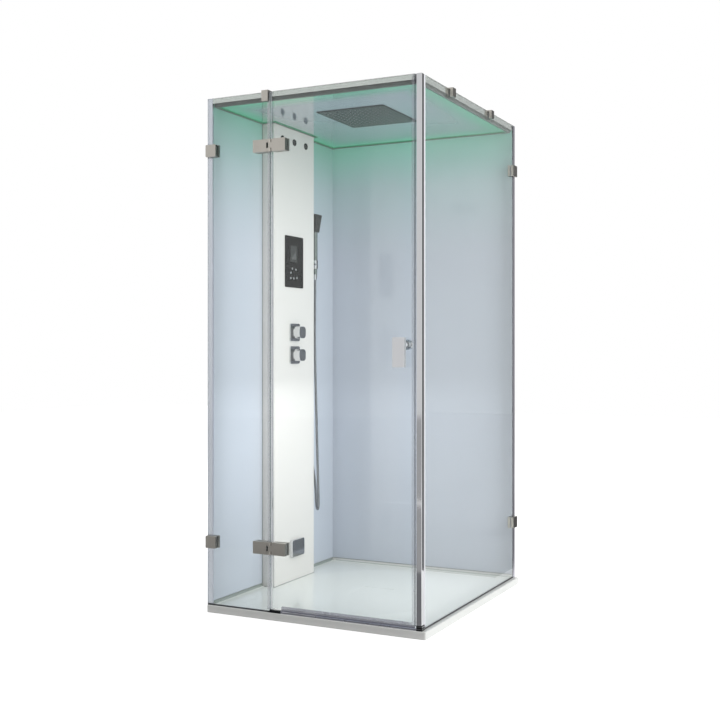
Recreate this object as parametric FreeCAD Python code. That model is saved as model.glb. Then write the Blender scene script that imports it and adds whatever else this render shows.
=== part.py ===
"""Square steam shower cabin: two walls, two glass sides, a hinged glass door and a steam column.

Units are millimetres. The origin is the centre of the waste outlet, on the floor plane, which is
also the centre of the tray. +Z is up, the door is at -Y, the column stands on the -X wall.
"""
import FreeCAD
import Part
import math
import os

V = FreeCAD.Vector

# ---------------------------------------------------------------- driving dimensions
WIDTH = 1000.0                  # tray, along X
DEPTH = 1000.0                  # tray, along Y
HEIGHT = 2115.0                 # floor to the top of the rails

TRAY_H = 30.0
TRAY_CORNER_R = 8.0
TRAY_EDGE_R = 3.0
UPSTAND_H = 14.0                # coved ledge that the walls stand on
COVE_R = 12.0
RECESS_R = 3.0                  # corners of the drain cover's recess
DISH_R = 405.0                  # plan radius of the shallow dish
DISH_DEPTH = 6.0

COVER_SIZE = 145.0              # square drain cover
COVER_T = 3.0
COVER_GAP = 1.0
COVER_FOOT_H = 2.0
COVER_FOOT_R = 5.0
COVER_R = 2.0
FOOT_ROOT = 0.5                 # how far a foot runs into the cover
WASTE_BORE_R = 25.0
WASTE_BARREL_R = 40.0
WASTE_FLANGE_R = 55.0
WASTE_FLANGE_T = 2.0

GLASS_T = 8.0
FRONT_SETBACK = 6.0             # tray's front edge to the front glass
SIDE_SETBACK = 19.5             # tray's right edge to the side glass
GLASS_BED = 5.0                 # dark strip under the fixed glass
POST = 22.0                     # square corner post
POST_WALL = 2.0
POST_R = 1.5
POST_SEAL_W = 10.0              # clear strip between the post and the side glass
RAIL_GAP = 1.0                  # glass to rail
FRONT_RAIL_H = 20.0
SIDE_RAIL_H = 24.0
RAIL_WALL = 1.6

FACING_T = 6.0                  # wall facing
BACKING_T = 16.0                # board behind it
EDGE_PROFILE = 8.0              # wall's front edge profile
PROFILE_GROOVE = 4.0            # its groove from each side
PROFILE_WALL = 2.0
BACK_PROFILE_W = 10.5           # profile where the side glass meets the back wall

ROOF_T = 4.0
ROOF_DROP = 1.0                 # roof panel's top below the rails' top
CEILING_UNDER = 29.0            # ceiling's underside below the rails' top
CEILING_T = 4.0
TRIM_W = 8.0
TRIM_H = 4.0
LED_W = 6.0
LED_H = 2.0

HINGE_X = -188.0                # hinge axis
HINGE_OUT = 8.0                 # hinge axis outside the glass's front face
HINGE_H = 50.0
HINGE_Z = (288.0, 1897.0)
HINGE_PROUD = 16.0
HINGE_WEB = 12.0                # axis to the edge of each plate
HINGE_PLATE_W = 64.0
HINGE_INNER_T = 10.0
HINGE_R = 2.0
HINGE_BOLTS = (17.0, 47.0)      # bolts from a plate's edge
HINGE_BOLT_END = 8.0            # depth that they reach in the outer plate
HINGE_ROOM = 30.0               # room in the seals, out from the glass
BARREL_R = 7.5
PIN_R = 4.0
KNUCKLE_END = 14.0
KNUCKLE_GAP = 0.3
GASKET_T = 1.0
RUNNING = 0.05                  # radial clearance of a pin that turns
SCREW_R = 4.0
SCREW_HEAD_R = 7.0
SCREW_HEAD_T = 3.0
SCREW_CLEAR = 0.1
GLASS_HOLE_R = 6.0
PAD_IN = 1.0                    # pads end this far inside their plates

FIXED_EDGE = 6.0                # fixed glass edge to the hinge axis
DOOR_EDGE = 5.0                 # door glass edge to the hinge axis
DOOR_POST_GAP = 7.5             # door glass edge to the corner post
DOOR_BOTTOM = 16.0              # door glass above the tray
SEAL_LEG = 1.0
SEAL_GRIP = 12.0
SEAL_FIN = 8.0
FIN_T = 2.0
FIN_GAP = 1.5                   # fin's tip to the door glass
FIN_IN = 3.0                    # fin's face behind the glass's front face
MAGNET_GAP = 0.6
THRESHOLD_H = 6.0
THRESHOLD_END_H = 11.0
THRESHOLD_END_W = 62.0
THRESHOLD_END_PROUD = 3.0
THRESHOLD_R = 1.5
SEAL_END_GAP = 2.0              # seals end this far from the threshold's end piece

HANDLE_W = 51.0
HANDLE_H = 113.0
HANDLE_T = 13.0
HANDLE_STANDOFF = 22.0
HANDLE_EDGE = 25.0              # plate edge to the door glass edge
HANDLE_Z = 1015.0
HANDLE_R = 3.0
HANDLE_POST_R = 11.0
HANDLE_BOLT_R = 4.0
KNOB_R = 19.5
KNOB_NECK_R = 13.0
KNOB_NECK = 9.0
KNOB_LEN = 27.0
KNOB_UP = 85.0                  # fixing point above the plate's lower edge
KNOB_IN = 37.0                  # fixing point from the plate's left edge
KNOB_RIM_R = 3.0
WASHER_RIM = 1.0

CLAMP_W = 30.0
CLAMP_TOP = 6.0
CLAMP_R = 3.0
CLAMP_SCREW_GRIP = 4.0          # screw below the rail's top wall
CLAMP_ROOM = 20.0
CLAMP_FRONT_X = -213.0
CLAMP_SIDE_Y = (-220.0, 193.0)
CLAMP_FRONT_PROUD = 9.0
CLAMP_SIDE_PROUD = 13.0
CLAMP_FRONT_DROP = 38.0         # clamp's lower edge below the rails' top
CLAMP_SIDE_DROP = 30.0

BRACKET = 50.0
BRACKET_PROUD = 13.0
BRACKET_INNER_T = 11.0
LEFT_BRACKET_Z = (291.0, 1898.0)
RIGHT_BRACKET_Z = (288.0, 1903.0)
BRACKET_R = 4.0
BRACKET_BACK = 2.0              # right bracket's edge before the tray's back edge
BRACKET_BOLT_IN = 14.0          # bolt from the wall's face
BRACKET_BOLT_GRIP = 4.0         # bolt in the outer plate
BRACKET_PAD_IN = 3.0            # left pad from the tray's left edge

COLUMN_Y = (-130.0, 200.0)
COLUMN_DEPTH = 63.0             # wall face to the column's front
COLUMN_T = 6.0
COLUMN_R = 4.0

JET_Z = 2026.0
JET_Y = (-66.0, 30.0, 126.0)
JET_BEZEL_R = 15.0
JET_BEZEL_T = 2.5
JET_SLEEVE_R = 11.0
JET_BALL_R = 9.0
JET_SLEEVE_LEN = 21.0
JET_BALL_IN = 4.0               # ball's centre behind the column's front
JET_HOLE_R = 2.5
JET_BEZEL_EDGE = 1.0
MANIFOLD_GAP = 6.0              # jet sleeves to the manifold
MANIFOLD_RIM = 4.0
MANIFOLD_WALL = 2.0
MANIFOLD_END = 16.0

PANEL_Y = (-48.0, 99.0)
PANEL_Z = (1364.0, 1597.0)
PANEL_T = 4.0
PANEL_R = 6.0
DISPLAY_Y = (-8.0, 48.0)
DISPLAY_Z = (1479.0, 1555.0)
DISPLAY_T = 0.8
CABLE_UP = 30.0                 # the panel's cable hole above its lower edge
BOARD_T = 1.6
BOARD_BACK = 8.0                # board behind the column's front panel
BOARD_MARGIN = 14.0
BOARD_POST_R = 3.5
BOARD_POST_IN = 6.0
BOARD_CABLE_GAP = 4.0

VALVE_Y = 29.0
MIXER_Z = 1160.0
DIVERTER_Z = 1057.0
ESCUTCHEON = 80.0
ESCUTCHEON_T = 6.0
ESCUTCHEON_R = 9.0
VALVE_BODY_R = 22.0
VALVE_SPINDLE_R = 6.0
VALVE_GAP = 1.0
VALVE_BACK = 8.0                # bodies from the wall's face
SPINDLE_CLEAR = 2.0
SPINDLE_HOLE_CLEAR = 4.0
ESCUTCHEON_EDGE = 1.5
KNOB_EDGE = 2.5
KNOB_SIZE = 54.0
KNOB_PROUD = 46.0
KNOB_CORNER_R = 17.0
KNOB_BORE_LEN = 24.0

INLET_SPACING = 150.0
INLET_R = 14.0
INLET_THREAD_R = 9.3
INLET_THREAD_LEN = 15.0
PIPE_R = 7.0
PIPE_WALL = 1.2
PIPE_BEND = 22.0
PIPE_SPACE = 3.0                # between pipes that pass
PIPE_PLANE = 40.0               # pipes' centre behind the column's front
RISER_CLEAR = 10.0              # room for the riser's bend in the ceiling
PIPE_SOCKET = 2.0               # how far a pipe runs into a body
RAIN_PIPE_RUN = 60.0            # last straight before the rain head
HOSE_FEED_RISE = 40.0
HOSE_FEED_SLANT = 60.0
HOSE_FEED_END = 12.0

STEAM_OUT_Y = 42.0
STEAM_OUT_Z = 178.0
STEAM_OUT_W = 100.0
STEAM_OUT_H = 76.0
STEAM_OUT_PROUD = 16.0
STEAM_OUT_WALL = 2.5
STEAM_OUT_R = 8.0
STEAM_OUT_EDGE = 1.5
STEAM_SLOT_IN = 12.0
STEAM_SLOT_BACK = 3.0
STEAM_HOLE_CLEAR = 3.0
TANK_Y = (-100.0, 100.0)
TANK_Z = (260.0, 600.0)
TANK_T = 2.5
TANK_R = 6.0
TANK_BACK = 6.0                 # tank and control box from the wall's face
TANK_OUTLET_IN = 30.0
STEAM_PIPE_RISE = 30.0
STEAM_PIPE_OUT = 50.0
ELEMENT_R = 4.0
ELEMENT_HALF = 7.0
ELEMENT_LEN = 210.0
ELEMENT_PLUG_R = 14.0
ELEMENT_PLUG_CLEAR = 0.1
ELEMENT_PLUG_LEN = 12.0
ELEMENT_FLANGE_R = 18.0
ELEMENT_FLANGE_T = 8.0
CONTROL_BOX_Y = (-115.0, 8.0)
CONTROL_BOX_Z = (720.0, 940.0)
CONTROL_BOX_WALL = 2.5
CONTROL_BOX_R = 4.0
GLAND_R = 9.0
GLAND_BORE_R = 5.0

HANDSET_OUT = 34.0              # handset axis from the column's side
HANDSET_IN = 15.0               # handset axis behind the column's front
HANDSET_SHOULDER = 1505.0
GRIP_R = 11.0
GRIP_LEN = 137.0
GRIP_TAIL_R = 9.4
GRIP_TAIL_LEN = 65.0
HEAD_H = 84.0
HEAD_TOP_W = 62.0
HEAD_LOW_W = 40.0
HEAD_T = 20.0
HEAD_TILT = 6.0
HEAD_FACE_T = 3.0
HEAD_R = 4.0
HEAD_FACE_IN = 5.0
HEAD_FACE_R = 1.5
HEAD_ROOT = 2.0                 # head starts this far down the grip
HOLDER_R = 13.0
HOLDER_BORE_R = 10.0
HOLDER_H = 40.0
HOLDER_ARM_R = 9.0
HOLDER_FOOT_T = 4.0

HOSE_D = 12.0
ELBOW_OUT = 22.0
ELBOW_IN = 33.0
ELBOW_Z = 672.0
ELBOW_DROP = 32.0
ELBOW_R = 9.0
ELBOW_PLATE_R = 19.0
ELBOW_PLATE_T = 4.0
ELBOW_MOUTH = 8.0               # solid length round the hose's end
BEND_SHARE = 0.45               # share of the shorter run that a hose bend may use

RAIN_SIZE = 320.0
RAIN_X = 15.0
RAIN_Y = -60.0
RAIN_T = 3.0
RAIN_BODY = 296.0
RAIN_BODY_H = 16.0
RAIN_WALL = 2.0
RAIN_R = 4.0
RAIN_BODY_GAP = 1.0
RAIN_PORT_SHARE = 0.7           # port's share of the pipe's bore
RAIN_ROWS = 12
RAIN_PITCH = 24.0
RAIN_HOLE_R = 2.0

# the hose's route, from the handset's tail down and round to the elbow's mouth
HOSE_ROUTE = [
    (-430, 234, 1440), (-430, 234, 1384), (-429, 230, 1280), (-426, 224, 1130),
    (-421, 221, 970), (-415, 219, 810), (-410, 218, 660), (-407, 219, 530),
    (-405, 222, 410), (-405, 224, 345), (-420.4, 242.6, 321), (-441.7, 268.4, 321),
    (-457, 287, 345), (-458, 285, 408), (-456, 268, 478), (-450, 238, 545),
    (-448, 222, 600), (-448, 222, 640),
]

# ---------------------------------------------------------------- planes worked out from them
X_LEFT = -WIDTH / 2
X_RIGHT = WIDTH / 2
Y_FRONT = -DEPTH / 2
Y_BACK = DEPTH / 2
WALL_T = FACING_T + BACKING_T
WALL_X = X_LEFT + WALL_T                      # left wall's face
WALL_Y = Y_BACK - WALL_T                      # back wall's face
LEDGE_Z = TRAY_H + UPSTAND_H                  # walls stand here
FRONT_OUT = Y_FRONT + FRONT_SETBACK           # front glass, outer face
FRONT_IN = FRONT_OUT + GLASS_T
SIDE_OUT = X_RIGHT - SIDE_SETBACK             # side glass, outer face
SIDE_IN = SIDE_OUT - GLASS_T
POST_X = SIDE_OUT - POST                      # post's left face
POST_Y = FRONT_OUT + POST                     # post's back face
GLASS_Z = TRAY_H + GLASS_BED                  # fixed glass, lower edge
EDGE_Y = FRONT_IN + EDGE_PROFILE              # walls' front end
SIDE_START = POST_Y + POST_SEAL_W             # side glass, front edge
CEILING_Z = HEIGHT - CEILING_UNDER            # ceiling's underside
ROOF_Z = HEIGHT - ROOF_DROP - ROOF_T          # walls' top
FIXED_X = HINGE_X - FIXED_EDGE                # fixed front glass, right edge
DOOR_X0 = HINGE_X + DOOR_EDGE                 # door glass edges
DOOR_X1 = POST_X - DOOR_POST_GAP
DOOR_Z = TRAY_H + DOOR_BOTTOM
COLUMN_X = WALL_X + COLUMN_DEPTH              # column's front face
COLUMN_BACK = COLUMN_X - COLUMN_T             # back of its front panel
PIPE_X = COLUMN_X - PIPE_PLANE
HINGE_Y = FRONT_OUT - HINGE_OUT
HANDLE_X0 = DOOR_X1 - HANDLE_EDGE - HANDLE_W
KNOB_X = HANDLE_X0 + KNOB_IN
KNOB_Z = HANDLE_Z + KNOB_UP
HANDSET_X = COLUMN_X - HANDSET_IN
HANDSET_Y = COLUMN_Y[1] + HANDSET_OUT
COVER_Z = TRAY_H - DISH_DEPTH - COVER_T       # drain cover's underside
WASTE_TOP = COVER_Z - COVER_FOOT_H            # floor of the recess under it
GLAND_Y = sum(CONTROL_BOX_Y) / 2
GLAND_Z = sum(CONTROL_BOX_Z) / 2
CABLE_Y = sum(PANEL_Y) / 2
CABLE_Z = PANEL_Z[0] + CABLE_UP
RISER_Y = COLUMN_Y[1] - COLUMN_T - PIPE_R - PIPE_BEND * 2 / 3
JET_FEED_Y = VALVE_Y - INLET_SPACING / 2 - INLET_R - PIPE_R - PIPE_SPACE
LEFT_BRACKET_X = X_LEFT + BRACKET / 2
RIGHT_BRACKET_Y = Y_BACK - BRACKET / 2 - BRACKET_BACK
BRACKET_BOLT_X = WALL_X + BRACKET_BOLT_IN
BRACKET_BOLT_Y = WALL_Y - BRACKET_BOLT_IN
PARALLEL = 0.999                # cosine above which an edge counts as along an axis
ON_PLANE = 0.01                 # edges this near a plane belong to it


# ---------------------------------------------------------------- helpers
def box(x0, x1, y0, y1, z0, z1):
    """A block between two corners."""
    return Part.makeBox(x1 - x0, y1 - y0, z1 - z0, V(x0, y0, z0))


def rod(start, axis, length, radius):
    """A round bar from a point along an axis."""
    return Part.makeCylinder(radius, length, V(*start), V(*axis))


def pipe_ring(start, axis, length, outer, inner):
    """A straight tube from a point along an axis."""
    return rod(start, axis, length, outer).cut(rod(start, axis, length, inner))


def joined(shapes):
    """One solid from several that touch or overlap."""
    result = shapes[0]
    for shape in shapes[1:]:
        result = result.fuse(shape)
    return result.removeSplitter()


def without(shape, tools):
    """A shape with each tool cut away."""
    for tool in tools:
        shape = shape.cut(tool)
    return shape


def edges_along(shape, axis, keep=None):
    """Straight edges parallel to an axis, with an optional test of their middle."""
    found = []
    for edge in shape.Edges:
        if not isinstance(edge.Curve, (Part.Line, Part.LineSegment)):
            continue
        direction = edge.tangentAt(edge.FirstParameter)
        if abs(direction.dot(V(*axis))) > PARALLEL:
            if keep is None or keep(edge.CenterOfMass):
                found.append(edge)
    return found


def rounded(shape, axis, radius, keep=None):
    """A shape with its edges along an axis rounded."""
    return shape.makeFillet(radius, edges_along(shape, axis, keep))


def bent_path(points, radius_at):
    """Straight runs joined by tangent arcs; radius_at gives each corner's radius."""
    corners = [V(*p) for p in points]
    edges = []
    radii = []
    start = corners[0]
    for i in range(1, len(corners) - 1):
        back = (corners[i - 1] - corners[i]).normalize()
        ahead = (corners[i + 1] - corners[i]).normalize()
        half_turn = (math.pi - back.getAngle(ahead)) / 2
        radius = radius_at(corners, i, half_turn)
        reach = radius * math.tan(half_turn)
        enter = corners[i] + back * reach
        leave = corners[i] + ahead * reach
        bisector = (back + ahead).normalize()
        middle = corners[i] + bisector * (radius / math.cos(half_turn) - radius)
        edges.append(Part.LineSegment(start, enter).toShape())
        edges.append(Part.Arc(enter, middle, leave).toShape())
        radii.append(radius)
        start = leave
    edges.append(Part.LineSegment(start, corners[-1]).toShape())
    return Part.Wire(edges), radii


def sweep(points, radius_at, section_r):
    """A round bar that follows a bent path."""
    path, radii = bent_path(points, radius_at)
    first = V(*points[0])
    direction = V(*points[1]) - first
    circle = Part.Wire([Part.Circle(first, direction, section_r).toShape()])
    return path.makePipeShell([circle], True, False), path, radii


def water_pipe(points):
    """A hollow pipe with bends of one radius."""
    def one_radius(corners, i, half_turn):
        return PIPE_BEND
    outer = sweep(points, one_radius, PIPE_R)[0]
    inner = sweep(points, one_radius, PIPE_R - PIPE_WALL)[0]
    return outer.cut(inner)


def screw(head_face, axis, length):
    """A flat-headed screw; the head's face is at the point and the shank runs along the axis."""
    shank = rod(head_face, axis, length, SCREW_R)
    head = rod(head_face, axis, SCREW_HEAD_T, SCREW_HEAD_R)
    return joined([shank, head])


def screw_hole(head_face, axis, length):
    """The hole that a screw sits in, with its clearance."""
    shank = rod(head_face, axis, length, SCREW_R + SCREW_CLEAR)
    head = rod(head_face, axis, SCREW_HEAD_T, SCREW_HEAD_R + SCREW_CLEAR)
    return joined([shank, head])


def group(solids):
    """Separate solids kept in one node."""
    return Part.makeCompound(solids)


NODES = {}


# ---------------------------------------------------------------- tray and waste
def make_tray():
    slab = box(X_LEFT, X_RIGHT, Y_FRONT, Y_BACK, 0, TRAY_H)
    slab = rounded(slab, (0, 0, 1), TRAY_CORNER_R)
    top = [e for e in slab.Edges
           if abs(e.CenterOfMass.z - TRAY_H) < ON_PLANE and (e.CenterOfMass.y < Y_FRONT + 1 or
                                                         e.CenterOfMass.x > X_RIGHT - 1)]
    slab = slab.makeFillet(TRAY_EDGE_R, top)
    left_ledge = box(X_LEFT, WALL_X + COVE_R, EDGE_Y, Y_BACK, TRAY_H - 1, LEDGE_Z)
    back_ledge = box(X_LEFT, SIDE_OUT - BACK_PROFILE_W, WALL_Y - COVE_R, Y_BACK, TRAY_H - 1,
                     LEDGE_Z)
    ledge = left_ledge.fuse(back_ledge).removeSplitter()
    left_cove = rod((WALL_X + COVE_R, EDGE_Y - 1, TRAY_H + COVE_R), (0, 1, 0), DEPTH, COVE_R)
    left_cove = left_cove.fuse(box(WALL_X, WALL_X + COVE_R + 1, EDGE_Y - 1, Y_BACK + 2 * COVE_R,
                                   TRAY_H + COVE_R, LEDGE_Z + 1))
    back_cove = rod((X_LEFT - 1, WALL_Y - COVE_R, TRAY_H + COVE_R), (1, 0, 0), WIDTH + 2, COVE_R)
    back_cove = back_cove.fuse(box(X_LEFT - 1, X_RIGHT + 1, WALL_Y - COVE_R - 1, WALL_Y,
                                   TRAY_H + COVE_R, LEDGE_Z + 1))
    left_cove = left_cove.common(box(WALL_X, X_RIGHT, EDGE_Y - 1, WALL_Y, 0, HEIGHT))
    back_cove = back_cove.common(box(WALL_X, X_RIGHT, Y_FRONT, WALL_Y, 0, HEIGHT))
    column_seat = box(WALL_X, COLUMN_X, COLUMN_Y[0], COLUMN_Y[1], TRAY_H, LEDGE_Z + 1)
    tray = slab.fuse(ledge).removeSplitter()
    tray = without(tray, [left_cove, back_cove, column_seat])
    sphere_r = (DISH_R ** 2 + DISH_DEPTH ** 2) / (2 * DISH_DEPTH)
    dish = Part.makeSphere(sphere_r, V(0, 0, TRAY_H - DISH_DEPTH + sphere_r))
    dish = dish.common(box(-DISH_R - 5, DISH_R + 5, -DISH_R - 5, DISH_R + 5, 0, TRAY_H + 1))
    recess_half = COVER_SIZE / 2 + COVER_GAP
    recess_z = COVER_Z - COVER_FOOT_H
    tray = without(tray, [
        dish,
        rounded(box(-recess_half, recess_half, -recess_half, recess_half, recess_z, TRAY_H),
                (0, 0, 1), RECESS_R),
        rod((0, 0, recess_z - WASTE_FLANGE_T), (0, 0, 1), TRAY_H, WASTE_FLANGE_R + SCREW_CLEAR),
        rod((0, 0, -1), (0, 0, 1), TRAY_H, WASTE_BARREL_R + SCREW_CLEAR),
    ])
    return tray


def make_waste():
    barrel = rod((0, 0, 0), (0, 0, 1), WASTE_TOP, WASTE_BARREL_R)
    flange = rod((0, 0, WASTE_TOP - WASTE_FLANGE_T), (0, 0, 1), WASTE_FLANGE_T, WASTE_FLANGE_R)
    bore = rod((0, 0, -1), (0, 0, 1), TRAY_H, WASTE_BORE_R)
    return joined([barrel, flange]).cut(bore)


def make_drain_cover():
    half = COVER_SIZE / 2
    plate = rounded(box(-half, half, -half, half, COVER_Z, COVER_Z + COVER_T), (0, 0, 1), COVER_R)
    foot_at = half - COVER_FOOT_R - 1
    feet = []
    for sx in (-1, 1):
        for sy in (-1, 1):
            feet.append(rod((sx * foot_at, sy * foot_at, WASTE_TOP), (0, 0, 1),
                            COVER_FOOT_H + FOOT_ROOT, COVER_FOOT_R))
    return joined([plate] + feet)


# ---------------------------------------------------------------- walls, roof and ceiling
def inlet_holes():
    """Holes through the left wall for the two inlets and the cable gland."""
    holes = []
    for y in (VALVE_Y - INLET_SPACING / 2, VALVE_Y + INLET_SPACING / 2):
        holes.append(rod((X_LEFT - 1, y, MIXER_Z), (1, 0, 0), WALL_T + 2, INLET_R + SCREW_CLEAR))
    holes.append(rod((X_LEFT - 1, GLAND_Y, GLAND_Z), (1, 0, 0), WALL_T + 2, GLAND_R + SCREW_CLEAR))
    return holes


def make_walls():
    side_wall_end = WALL_Y + FACING_T
    back_wall_end = SIDE_OUT - BACK_PROFILE_W
    left_backing = box(X_LEFT, X_LEFT + BACKING_T, EDGE_Y, side_wall_end, LEDGE_Z, ROOF_Z)
    left_facing = box(X_LEFT + BACKING_T, WALL_X, EDGE_Y, WALL_Y, LEDGE_Z, ROOF_Z)
    back_backing = box(X_LEFT, back_wall_end, side_wall_end, Y_BACK, LEDGE_Z, ROOF_Z)
    back_facing = box(X_LEFT + BACKING_T, back_wall_end, WALL_Y, side_wall_end, LEDGE_Z, ROOF_Z)
    NODES["left_wall_backing"] = without(left_backing, inlet_holes())
    NODES["left_wall_facing"] = without(left_facing, inlet_holes())
    NODES["back_wall_backing"] = back_backing
    NODES["back_wall_facing"] = back_facing
    groove_y = EDGE_Y - EDGE_PROFILE / 2
    edge = box(X_LEFT, WALL_X, FRONT_IN, EDGE_Y, TRAY_H, HEIGHT)
    groove = box(X_LEFT + PROFILE_GROOVE, WALL_X - PROFILE_GROOVE, groove_y, EDGE_Y,
                 TRAY_H - 1, HEIGHT + 1)
    NODES["left_wall_edge_profile"] = edge.cut(groove)
    channel = box(back_wall_end, SIDE_OUT, WALL_Y, Y_BACK, TRAY_H, HEIGHT)
    slot = box(back_wall_end - 1, SIDE_OUT - PROFILE_WALL, WALL_Y + PROFILE_WALL,
               Y_BACK - PROFILE_WALL, TRAY_H - 1, HEIGHT + 1)
    NODES["back_wall_edge_profile"] = channel.cut(slot)


def room_outline(inset, z0, z1):
    """The room's plan inside the rails and walls, less the column, drawn in by an inset."""
    room = box(WALL_X + inset, POST_X - inset, POST_Y + inset, WALL_Y - inset, z0, z1)
    column = box(WALL_X - 1, COLUMN_X + inset, COLUMN_Y[0] - inset, COLUMN_Y[1] + inset,
                 z0 - 1, z1 + 1)
    return room.cut(column)


def make_top():
    NODES["roof_panel"] = box(X_LEFT, POST_X, POST_Y, Y_BACK, ROOF_Z, ROOF_Z + ROOF_T)
    ceiling = box(WALL_X, POST_X, POST_Y, WALL_Y, CEILING_Z, CEILING_Z + CEILING_T)
    body_half = RAIN_BODY / 2 + RAIN_BODY_GAP
    body_hole = box(RAIN_X - body_half, RAIN_X + body_half, RAIN_Y - body_half,
                    RAIN_Y + body_half, CEILING_Z - 1, CEILING_Z + CEILING_T + 1)
    pipe_hole = rod((PIPE_X, RISER_Y, CEILING_Z - 1), (0, 0, 1), CEILING_T + 2,
                    PIPE_R + RISER_CLEAR)
    NODES["ceiling_panel"] = without(ceiling, [body_hole, pipe_hole])
    trim = room_outline(0, CEILING_Z - TRIM_H, CEILING_Z)
    trim = trim.cut(room_outline(TRIM_W, CEILING_Z - TRIM_H - 1, CEILING_Z + 1))
    NODES["ceiling_trim"] = trim
    strip = room_outline(TRIM_W, CEILING_Z - LED_H, CEILING_Z)
    strip = strip.cut(room_outline(TRIM_W + LED_W, CEILING_Z - LED_H - 1, CEILING_Z + 1))
    NODES["led_strip"] = strip
    skirt_y = POST_Y - RAIL_WALL
    front_skirt = box(X_LEFT + WALL_T, POST_X, skirt_y, POST_Y, CEILING_Z - TRIM_H,
                      HEIGHT - FRONT_RAIL_H)
    NODES["front_rail_skirt"] = front_skirt
    side_skirt = box(POST_X, POST_X + RAIL_WALL, POST_Y, WALL_Y, CEILING_Z - TRIM_H,
                     HEIGHT - SIDE_RAIL_H)
    NODES["side_rail_skirt"] = side_skirt


# ---------------------------------------------------------------- post and rails
def make_post():
    post = box(POST_X, SIDE_OUT, FRONT_OUT, POST_Y, TRAY_H + POST_WALL, HEIGHT)
    core = box(POST_X + POST_WALL, SIDE_OUT - POST_WALL, FRONT_OUT + POST_WALL,
               POST_Y - POST_WALL, TRAY_H, HEIGHT - POST_WALL)
    NODES["corner_post"] = rounded(post, (0, 0, 1), POST_R).cut(core)
    foot = box(POST_X, SIDE_OUT + POST_WALL, FRONT_OUT - POST_WALL, POST_Y, TRAY_H,
               TRAY_H + FRONT_RAIL_H)
    seat = box(POST_X - 1, SIDE_OUT, FRONT_OUT, POST_Y + 1, TRAY_H + POST_WALL, HEIGHT)
    plug_clear = POST_WALL + SCREW_CLEAR
    plug = box(POST_X + plug_clear, SIDE_OUT - plug_clear, FRONT_OUT + plug_clear,
               POST_Y - plug_clear, TRAY_H, TRAY_H + FRONT_RAIL_H)
    NODES["corner_post_foot"] = joined([foot.cut(seat), plug])


def make_rails():
    front = box(WALL_X, POST_X, FRONT_IN + RAIL_GAP, POST_Y, HEIGHT - FRONT_RAIL_H, HEIGHT)
    front_core = box(WALL_X - 1, POST_X + 1, FRONT_IN + RAIL_GAP + RAIL_WALL, POST_Y - RAIL_WALL,
                     HEIGHT - FRONT_RAIL_H + RAIL_WALL, HEIGHT - RAIL_WALL)
    side = box(POST_X, SIDE_IN - RAIL_GAP, POST_Y, WALL_Y, HEIGHT - SIDE_RAIL_H, HEIGHT)
    side_core = box(POST_X + RAIL_WALL, SIDE_IN - RAIL_GAP - RAIL_WALL, POST_Y - 1, WALL_Y + 1,
                    HEIGHT - SIDE_RAIL_H + RAIL_WALL, HEIGHT - RAIL_WALL)
    holes = [clamp_screw(CLAMP_FRONT_X, 0, screw_hole)]
    NODES["front_header_rail"] = without(front, [front_core] + holes)
    holes = [clamp_screw(None, y, screw_hole) for y in CLAMP_SIDE_Y]
    NODES["side_header_rail"] = without(side, [side_core] + holes)


def clamp_screw(x, y, make):
    """The screw, or its hole, that holds a header clamp to the rail; x is None on the side."""
    if x is None:
        x = (POST_X + SIDE_IN - RAIL_GAP) / 2
    else:
        y = (FRONT_IN + RAIL_GAP + POST_Y) / 2
    return make((x, y, HEIGHT + CLAMP_TOP), (0, 0, -1), CLAMP_TOP + RAIL_WALL + CLAMP_SCREW_GRIP)


def make_clamps():
    half = CLAMP_W / 2
    pads = []
    top = HEIGHT + CLAMP_TOP
    face = FRONT_OUT - GASKET_T
    plate = box(CLAMP_FRONT_X - half, CLAMP_FRONT_X + half, face - CLAMP_FRONT_PROUD + GASKET_T,
                face, HEIGHT - CLAMP_FRONT_DROP, top)
    bridge = box(CLAMP_FRONT_X - half, CLAMP_FRONT_X + half, face - 1, POST_Y, HEIGHT, top)
    front = joined([plate, bridge])
    front = rounded(front, (0, 1, 0), CLAMP_R, lambda c: c.z < HEIGHT)
    clamps = [front.cut(clamp_screw(CLAMP_FRONT_X, 0, screw_hole))]
    pads.append(box(CLAMP_FRONT_X - half + PAD_IN, CLAMP_FRONT_X + half - PAD_IN, face, FRONT_OUT,
                    HEIGHT - CLAMP_FRONT_DROP + PAD_IN, HEIGHT - PAD_IN))
    for y in CLAMP_SIDE_Y:
        face = SIDE_OUT + GASKET_T
        plate = box(face, face + CLAMP_SIDE_PROUD - GASKET_T, y - half, y + half,
                    HEIGHT - CLAMP_SIDE_DROP, top)
        bridge = box(POST_X, face + 1, y - half, y + half, HEIGHT, top)
        side = joined([plate, bridge])
        side = rounded(side, (1, 0, 0), CLAMP_R, lambda c: c.z < HEIGHT)
        clamps.append(side.cut(clamp_screw(None, y, screw_hole)))
        pads.append(box(SIDE_OUT, face, y - half + PAD_IN, y + half - PAD_IN,
                        HEIGHT - CLAMP_SIDE_DROP + PAD_IN, HEIGHT - PAD_IN))
    NODES["header_clamps"] = group(clamps)
    NODES["clamp_screws"] = group([clamp_screw(CLAMP_FRONT_X, 0, screw)] +
                                  [clamp_screw(None, y, screw) for y in CLAMP_SIDE_Y])
    return pads


# ---------------------------------------------------------------- glass, brackets and seals
def bracket_bolts(make):
    """The bolts, or their holes, through the two fixed glasses and their wall brackets."""
    shapes = []
    length = GLASS_T + 2 * GASKET_T + BRACKET_INNER_T + BRACKET_BOLT_GRIP
    for z in LEFT_BRACKET_Z:
        start = (BRACKET_BOLT_X, FRONT_IN + GASKET_T + BRACKET_INNER_T, z)
        shapes.append(make(start, (0, -1, 0), length))
    for z in RIGHT_BRACKET_Z:
        start = (SIDE_IN - GASKET_T - BRACKET_INNER_T, BRACKET_BOLT_Y, z)
        shapes.append(make(start, (1, 0, 0), length))
    return shapes


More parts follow.
